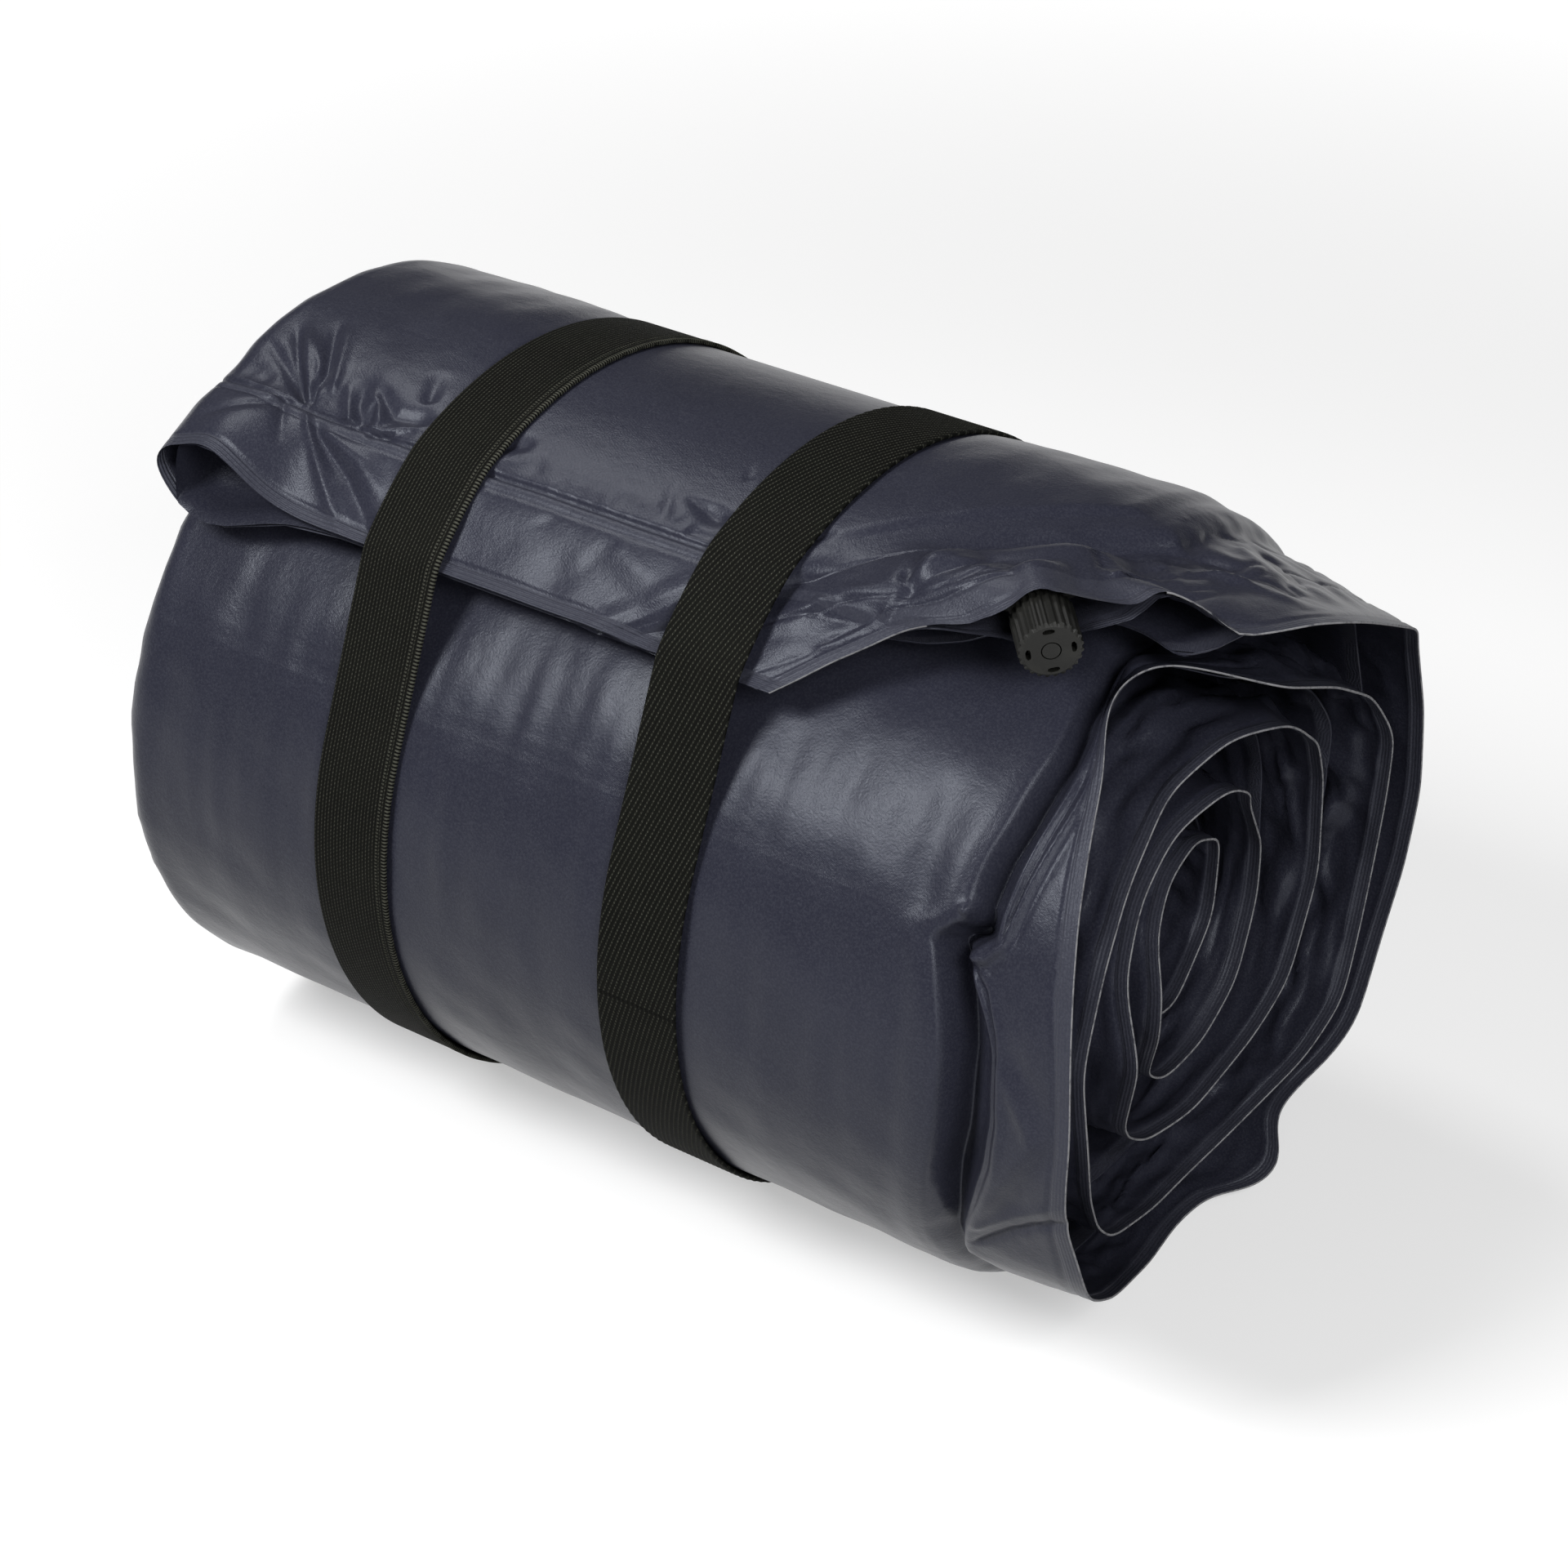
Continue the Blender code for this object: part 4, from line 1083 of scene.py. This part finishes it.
class StageSizes(bpy.types.PropertyGroup):
    """The studio."""

    azimuth: an_angle("Azimuth", "The camera's angle round the roll", 34.1)
    elevation: an_angle("Elevation", "The camera's angle above the floor", 33.9)
    distance: a_length("Distance", "The camera's distance", 0.9855)
    lens: a_number("Lens", "Focal length in millimetres", 80.6)
    key: a_number("Key light", "Power of the light at the front left, in watts", 10)
    top: a_number("Top light", "Power of the light overhead, in watts", 4)
    fill: a_number("Fill light", "Power of the low front light, in watts", 3)
    end: a_number("End light", "Power of the light on the open end, in watts", 8)
    ambient: a_number("Ambient", "Strength of the light from all round", 0.10)


class OBJECT_OT_mat_fabric(bpy.types.Operator):
    """Build the two fabric sheets and their welded, cut edges"""

    bl_idname = "object.mat_fabric"
    bl_label = "Mat fabric"

    def execute(self, context):
        mat = context.scene.mat_roll
        cloth, raw = coated_fabric("coated_fabric", 1.0), cut_edge()
        # the inner sheet gets the same fabric darkened to 0.85: painted shade in the hollows under
        # the flap and inside the roll's end
        underside = coated_fabric("coated_fabric_underside", 0.85)
        wound = TAU * mat.turns
        weld = mat.end_margin * mat.outer_radius
        hem = ((0, 4.6 * MM), (weld - mat.weld_band - 1.6 * MM, weld + 1.6 * MM))
        knot = ((566 * MM, 606 * MM), (664 * MM, 690 * MM))
        spans = (
            ("flap", 300, stations(0, FLAP_END, 1.0 * MM, hem), (0.62, 0.138), 0.0805),
            ("outer_turn", 150, stations(FLAP_END, OUTER_END, 2.7 * MM, knot), (0.62, 0.535),
             0.3317),
        )
        for name, detail, s, flat, area in spans:
            points, across, mask = cover_points(s, detail)
            length = s * (mat.outer_radius - mat.pitch / 2)
            arc = s[:, None] * mat.outer_radius
            inner_weld = np.abs(arc - weld + mat.weld_band / 2) < mat.weld_band / 2
            mask = np.maximum(mask, np.where(arc < mat.weld_band, 2.0, 0.5 * inner_weld))
            cover = add_grid(name, points, across, mask, cloth, length)
            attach(cover, "roll")

        s = stations(OUTER_END - 3 * DEG, wound, SHEET_STEP)
        length = s * (mat.outer_radius - mat.pitch * s / TAU / 2)
        inside = add_grid("inner_turns", *cover_points(s, 4), cloth, length)
        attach(inside, "roll")
        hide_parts("outer_sheet")

        s = stations(0, wound, SHEET_STEP)
        length = s * (mat.outer_radius - mat.pitch * s / TAU / 2)
        lining = [grid[:, ::-1] for grid in lining_points(s)]
        # its finish is the darkened copy of the fabric, a painted shade
        sheet = add_grid("inner_sheet_cloth", *lining, underside, length)
        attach(sheet, "roll")
        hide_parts("inner_sheet")
        self.edges(cloth, raw, wound)
        return {"FINISHED"}

    def edges(self, cloth, raw, wound):
        """The raw edges: thin ribbons between the edges of the two welded sheets; the lower one
        gets the dark fabric instead of the pale raw edge, as painted shade.
        """
        s = stations(0, wound, 1.2 * MM)
        upper, lower = edge_curve(s), under_lining(s, lower_edge(s)[:, None], LOWER_GAP)[:, 0]
        upper = upper - outward(upper) * corner_creases(s, upper[:, None, :])
        shut = under_edge(s) < 1.5 * MM
        step = np.array([0.2 * MM, 0, 0])
        # the lower half's cut edge takes the dark fabric, not the pale raw edge: painted shade
        # where it lies recessed under the upper edge
        for name, line, keep, finish in (("cut_edge_upper", upper, shut, raw),
                                         ("cut_edge_lower", lower, np.ones_like(shut), cloth)):
            out = outward(line)
            ribbon = np.stack([line + out * 0.08 * MM, line + step - out * 0.05 * MM,
                               line + step - out * 0.4 * MM, line - out * 0.55 * MM], 1)
            quads = grid_faces(len(s), 4)[np.repeat(keep[:-1] & keep[1:], 3)]
            blank = np.zeros(ribbon.shape[:2])
            item = add_mesh(name, ribbon, quads, finish, np.stack([blank, blank], -1), blank)
            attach(item, "roll")


class OBJECT_OT_mat_foam(bpy.types.Operator):
    """Build the foam slab between the sheets"""

    bl_idname = "object.mat_foam"
    bl_label = "Mat foam"

    def execute(self, context):
        look, mat = context.scene.mat_finish, context.scene.mat_roll
        s = stations(mat.end_margin, TAU * mat.turns - 62 * DEG, 8 * MM)
        rows = s[:, None]
        d = depths(rows)
        gap, under_face = 1.1 * MM, 7.0 * MM
        base, angle = radius_at(rows), mat.free_angle + rows
        end = foam_end(rows) - 9 * MM
        fold = MAT_BOX[0][0] + mat.fold_depth
        inside = fold + 2 * MM + 0 * rows
        around = np.linspace(0, math.pi, 7)
        middle, half = (d[0] + d[3]) / 2, (d[3] - d[0]) / 2 - gap
        x = fold - (mat.fold_depth - 3.5 * MM) * np.sin(around)
        under_dents = 2 * MM * (1 + np.cos(around)) / 2
        bend = place(x, base - middle + half * np.cos(around) - under_dents, angle)
        rim = ((end - LOWER_START, d[3] - gap), (end - LOWER_START, d[2] + gap),
               (inside, d[2] + gap), (inside, d[1] - gap), (end, d[1] - gap),
               (end, d[0] + under_face))
        rim = [place(x, base - depth, angle) for x, depth in rim]
        points = np.concatenate([bend, *rim], axis=1)
        columns = points.shape[1]
        # both ends are closed by quads between the section's two halves
        k = np.arange(columns // 2 - 1)
        quad = np.stack([k + 1, k, columns - 1 - k, columns - 2 - k], -1)
        last = (len(s) - 1) * columns + columns - 1 - quad
        faces = np.concatenate([grid_faces(len(s), columns, ring=True), quad, last])
        finish = grained("foam", look.foam, look.foam_dark, (700, 4, 0.7), 0.95, (0.5 * MM,))
        slab = add_mesh("foam_slab", points, faces, finish)
        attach(slab, "roll")
        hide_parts("foam_core")
        return {"FINISHED"}


class OBJECT_OT_mat_straps(bpy.types.Operator):
    """Build the two woven elastic loops and the bars of thread that close them"""

    bl_idname = "object.mat_straps"
    bl_label = "Mat straps"

    def execute(self, context):
        look, size = context.scene.mat_finish, context.scene.mat_straps
        stitch = grained("thread", look.elastic_dark, look.elastic_fleck, (1800, 2), 0.7,
                         (0.2 * MM,))
        for node, body, twill in (("strap_far", "far_loop", False),
                                  ("strap_near", "near_loop", True)):
            low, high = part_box(node)
            middle = (low[0] + high[0]) / 2
            step = (1.0 if twill else 0.34) * MM
            path, out = strap_path(size, step)
            cloth = woven_elastic(node + "_elastic", twill)
            bars = [f"{node}_{end}_stitches" for end in ("upper", "lower")]
            lap = [np.mean(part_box(bar), axis=0)[1:] for bar in bars]
            piece = strap_piece(node + "_loop", middle, path, out, lap, size, step, cloth, twill)
            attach(piece, body)
            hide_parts(node)
            for name in bars:
                bar = tack_piece(name + "_thread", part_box(name), stitch)
                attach(bar, body)
                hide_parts(name)
        return {"FINISHED"}


def strap_path(size, step):
    """The loop round the roll: the outline of the outermost turn, drawn tight, flat below."""
    mat = roll()
    s = np.radians(np.arange(0, 360, 0.5))
    drop = mat.end_drop * np.clip(1 - s / mat.end_margin, 0, 1)
    radius = mat.outer_radius - mat.pitch * s / TAU - drop + size.thickness / 2 + AIR
    ring = place(0, radius, mat.free_angle + s)[:, 1:]
    hull = []
    order = ring[np.lexsort((ring[:, 1], ring[:, 0]))]
    for half in (order, order[::-1]):
        chain = []
        for point in half:
            while len(chain) > 1:
                a, b = chain[-1] - chain[-2], point - chain[-2]
                if a[0] * b[1] - a[1] * b[0] > 0:
                    break
                chain.pop()
            chain.append(point)
        hull += chain[:-1]
    closed = np.array(hull + hull[:1])
    closed[:, 1] = np.maximum(closed[:, 1], size.thickness / 2)
    run = run_along(closed)
    path = read_line(np.linspace(0, run[-1], int(run[-1] / step) + 1)[:-1], run, closed)
    reach = int(5 * MM / step)
    path = soften(path, reach / math.sqrt(8), reach, closed=True)
    ahead = np.roll(path, -1, axis=0) - np.roll(path, 1, axis=0)
    ahead /= np.linalg.norm(ahead, axis=1)[:, None]
    return path, np.stack([ahead[:, 1], -ahead[:, 0]], 1)


def strap_piece(name, middle, path, out, lap, size, step, material, twill):
    """A ribbon with round edges along the loop, twice as thick in the lap between its bars.

    On the twill its face is raised in ribs, a sine of the place across plus a share of the
    place along. The other has loops of thread wrapped round its +X edge, and a row of them
    beside it, each a sine of the place along.
    """
    half, thick = size.width / 2, size.thickness / 2
    face = np.linspace(-half + thick, half - thick, 82 if twill else 28)
    turn = np.linspace(-90, 90, 7)[1:-1] * DEG
    bulge, fall = half - thick + thick * np.cos(turn) * 0.8, -thick * np.sin(turn)
    under = np.linspace(half - thick, -half + thick, 7)
    x = np.concatenate([face, bulge, under, -bulge[::-1]])
    h = np.concatenate([0 * face + thick, fall, 0 * under - thick, fall[::-1]])
    along = (np.arange(len(path)) * step)[:, None]
    upper = (h > thick * 0.5).astype(float)
    first, last = sorted(np.linalg.norm(path - end, axis=1).argmin() * step for end in lap)
    second = between(along, first - 2.5 * MM, last + 2.5 * MM, MM, MM)
    if twill:
        rib = np.sin((x + along * size.twill_slope) * TAU / size.rib_pitch)
        relief = size.relief * upper * (0.5 * rib - 0.5)
        grow = 0 * along
    else:
        loop = np.sin(along * TAU / size.loop_pitch)
        rim = smooth((x - half + 1.6 * MM) / (0.4 * MM))
        row = hump(x, half - 3.1 * MM, 0.5 * MM)
        relief = -0.1 * MM * upper + (0.14 * loop + 0.04) * MM * upper * np.maximum(rim, row)
        grow = 0.16 * MM * loop * (x > half - thick) * (np.abs(h) < thick * 0.99)
    height = h + relief + second * (h + thick)
    y, z = (path[:, None, k] + out[:, None, k] * height for k in range(2))
    points = np.stack(np.broadcast_arrays(middle + x + grow, y, np.maximum(z, 0)), -1)
    faces = grid_faces(*points.shape[:2], ring=True, loop=True, flip=True)
    uv = np.stack(np.broadcast_arrays(along, x), -1)
    return add_mesh(name, points, faces, material, uv)


def tack_piece(name, box, material):
    """A sewn bar: one thread that zigzags over the box of its solid, as a round tube."""
    low, high = np.array(box[0]), np.array(box[1])
    thread_radius = 0.24 * MM
    t = np.linspace(0, 1, 700)
    swing = np.sin(t * TAU * 26)
    place_in_box = np.stack([2 * t - 1, swing, swing], -1)
    line = (low + high) / 2 + ((high - low) / 2 - thread_radius) * place_in_box
    ahead = np.gradient(line, axis=0)
    ahead /= np.linalg.norm(ahead, axis=1)[:, None]
    side = np.cross(ahead, np.array([1.0, 0.2, 0.1]))
    side /= np.linalg.norm(side, axis=1)[:, None]
    up = np.cross(ahead, side)
    turn = np.linspace(0, TAU, 7)[:-1, None]
    ring = side[:, None] * np.cos(turn) + up[:, None] * np.sin(turn)
    points = line[:, None] + ring * thread_radius
    rows, columns = points.shape[:2]
    last = (rows - 1) * columns
    caps = np.array([np.arange(columns)[::-1][:4], last + np.arange(4)])
    faces = np.concatenate([grid_faces(rows, columns, ring=True, flip=True), caps])
    return add_mesh(name, points, faces, material)


class OBJECT_OT_mat_valve(bpy.types.Operator):
    """Finish the valve's solids"""

    bl_idname = "object.mat_valve"
    bl_label = "Mat valve"

    def execute(self, context):
        look, plastic = context.scene.mat_finish, valve_plastic()
        soft = grained("rubber", look.rubber_dark, look.rubber, (900, 3), 0.65, (0.1 * MM, 0.5))
        looks = {"valve_body": plastic, "valve_cap": plastic, "valve_plunger": plastic,
                 "valve_sealing_ring": soft, "plunger_seal": soft}
        for node, material in looks.items():
            for slot in frame["nodes"][node].material_slots:
                slot.material = material
        return {"FINISHED"}


class OBJECT_OT_mat_stage(bpy.types.Operator):
    """Set up the floor, the lights and the camera"""

    bl_idname = "object.mat_stage"
    bl_label = "Mat stage"

    def execute(self, context):
        scene, stage = context.scene, context.scene.mat_stage
        scene.view_settings.view_transform = "Standard"
        self.floor()
        self.world(scene, stage)
        for name, (spot, width, depth) in LIGHTS.items():
            self.light(scene, name, spot, width, depth, getattr(stage, name))
        az, el = stage.azimuth, stage.elevation
        back = Vector((math.sin(az) * math.cos(el), -math.cos(az) * math.cos(el), math.sin(el)))
        data = bpy.data.cameras.new("camera")
        data.lens, data.sensor_width = stage.lens, 36
        data.clip_start, data.clip_end = 0.01, 100
        camera = bpy.data.objects.new("camera", data)
        scene.collection.objects.link(camera)
        camera.location = Vector(CAMERA_TARGET) + back * stage.distance
        camera.rotation_euler = back.to_track_quat("Z", "Y").to_euler()
        scene.camera = camera
        return {"FINISHED"}

    def floor(self):
        """A wide pale floor that keeps the shadow, and that the camera sees near white."""
        g = Graph("floor")
        rays = [g.node("ShaderNodeLightPath", output=f"Is {kind} Ray")
                for kind in ("Camera", "Glossy", "Transmission")]
        shown = g.math("ADD", rays[0] + rays[1], rays[2], clamp=True)
        away = g.node("ShaderNodeVectorMath", {"operation": "LENGTH"}, output="Value",
                      i0=g.object_point())
        glow = g.mix(g.ramp(away, 0.45, 1.3), (0.42, 0.42, 0.42), (0.95, 0.95, 0.95))
        g.surface(Base_Color=g.mix(shown, (0.16, 0.16, 0.16), (0.64, 0.64, 0.64)),
                  Emission_Color=g.mix(shown, (0, 0, 0), glow),
                  Emission_Strength=1.0, Roughness=0.9, Specular_IOR_Level=0.0)
        corners = FLOOR_REACH * np.array([(-1, -1, 0), (1, -1, 0), (1, 1, 0), (-1, 1, 0)])
        add_mesh("floor", corners, np.array([[0, 1, 2, 3]]), g.material)

    def world(self, scene, stage):
        """Even light from all round."""
        world = bpy.data.worlds.new("studio")
        scene.world = world
        world.use_nodes = True
        tree = world.node_tree
        tree.nodes.clear()
        plain = tree.nodes.new("ShaderNodeBackground")
        plain.inputs["Color"].default_value = (1, 1, 1, 1)
        plain.inputs["Strength"].default_value = stage.ambient
        out = tree.nodes.new("ShaderNodeOutputWorld")
        tree.links.new(plain.outputs[0], out.inputs[0])

    def light(self, scene, name, spot, width, depth, power):
        """A soft oblong light that faces the middle of the roll."""
        data = bpy.data.lights.new(name, "AREA")
        data.shape, data.size, data.size_y, data.energy = "RECTANGLE", width, depth, power
        item = bpy.data.objects.new(name, data)
        scene.collection.objects.link(item)
        item.location = spot
        aim = Vector(spot) - Vector((0, 0, 0.1))
        item.rotation_euler = aim.to_track_quat("Z", "Y").to_euler()


class VIEW3D_PT_mat(bpy.types.Panel):
    """Lists the mat's pieces and the stage."""

    bl_label = "Rolled mat"
    bl_idname = "VIEW3D_PT_mat"
    bl_space_type = "VIEW_3D"
    bl_region_type = "UI"
    bl_category = "Mat"

    def draw(self, context):
        for step in STEPS:
            self.layout.operator(step.bl_idname)


SETTINGS = {"mat_roll": RollSizes, "mat_finish": FinishColours, "mat_straps": StrapSizes,
            "mat_stage": StageSizes}
STEPS = (OBJECT_OT_mat_stage, OBJECT_OT_mat_foam, OBJECT_OT_mat_fabric, OBJECT_OT_mat_straps,
         OBJECT_OT_mat_valve)


def register():
    for group in SETTINGS.values():
        bpy.utils.register_class(group)
    for step in (*STEPS, VIEW3D_PT_mat):
        bpy.utils.register_class(step)
    for name, group in SETTINGS.items():
        setattr(bpy.types.Scene, name, bpy.props.PointerProperty(type=group))


def unregister():
    for name in SETTINGS:
        delattr(bpy.types.Scene, name)
    for step in (*STEPS, VIEW3D_PT_mat, *SETTINGS.values()):
        bpy.utils.unregister_class(step)


def main():
    register()
    for step in STEPS:
        group, name = step.bl_idname.split(".")
        getattr(getattr(bpy.ops, group), name)()
    bpy.context.view_layer.update()


if __name__ == "__main__":
    main()
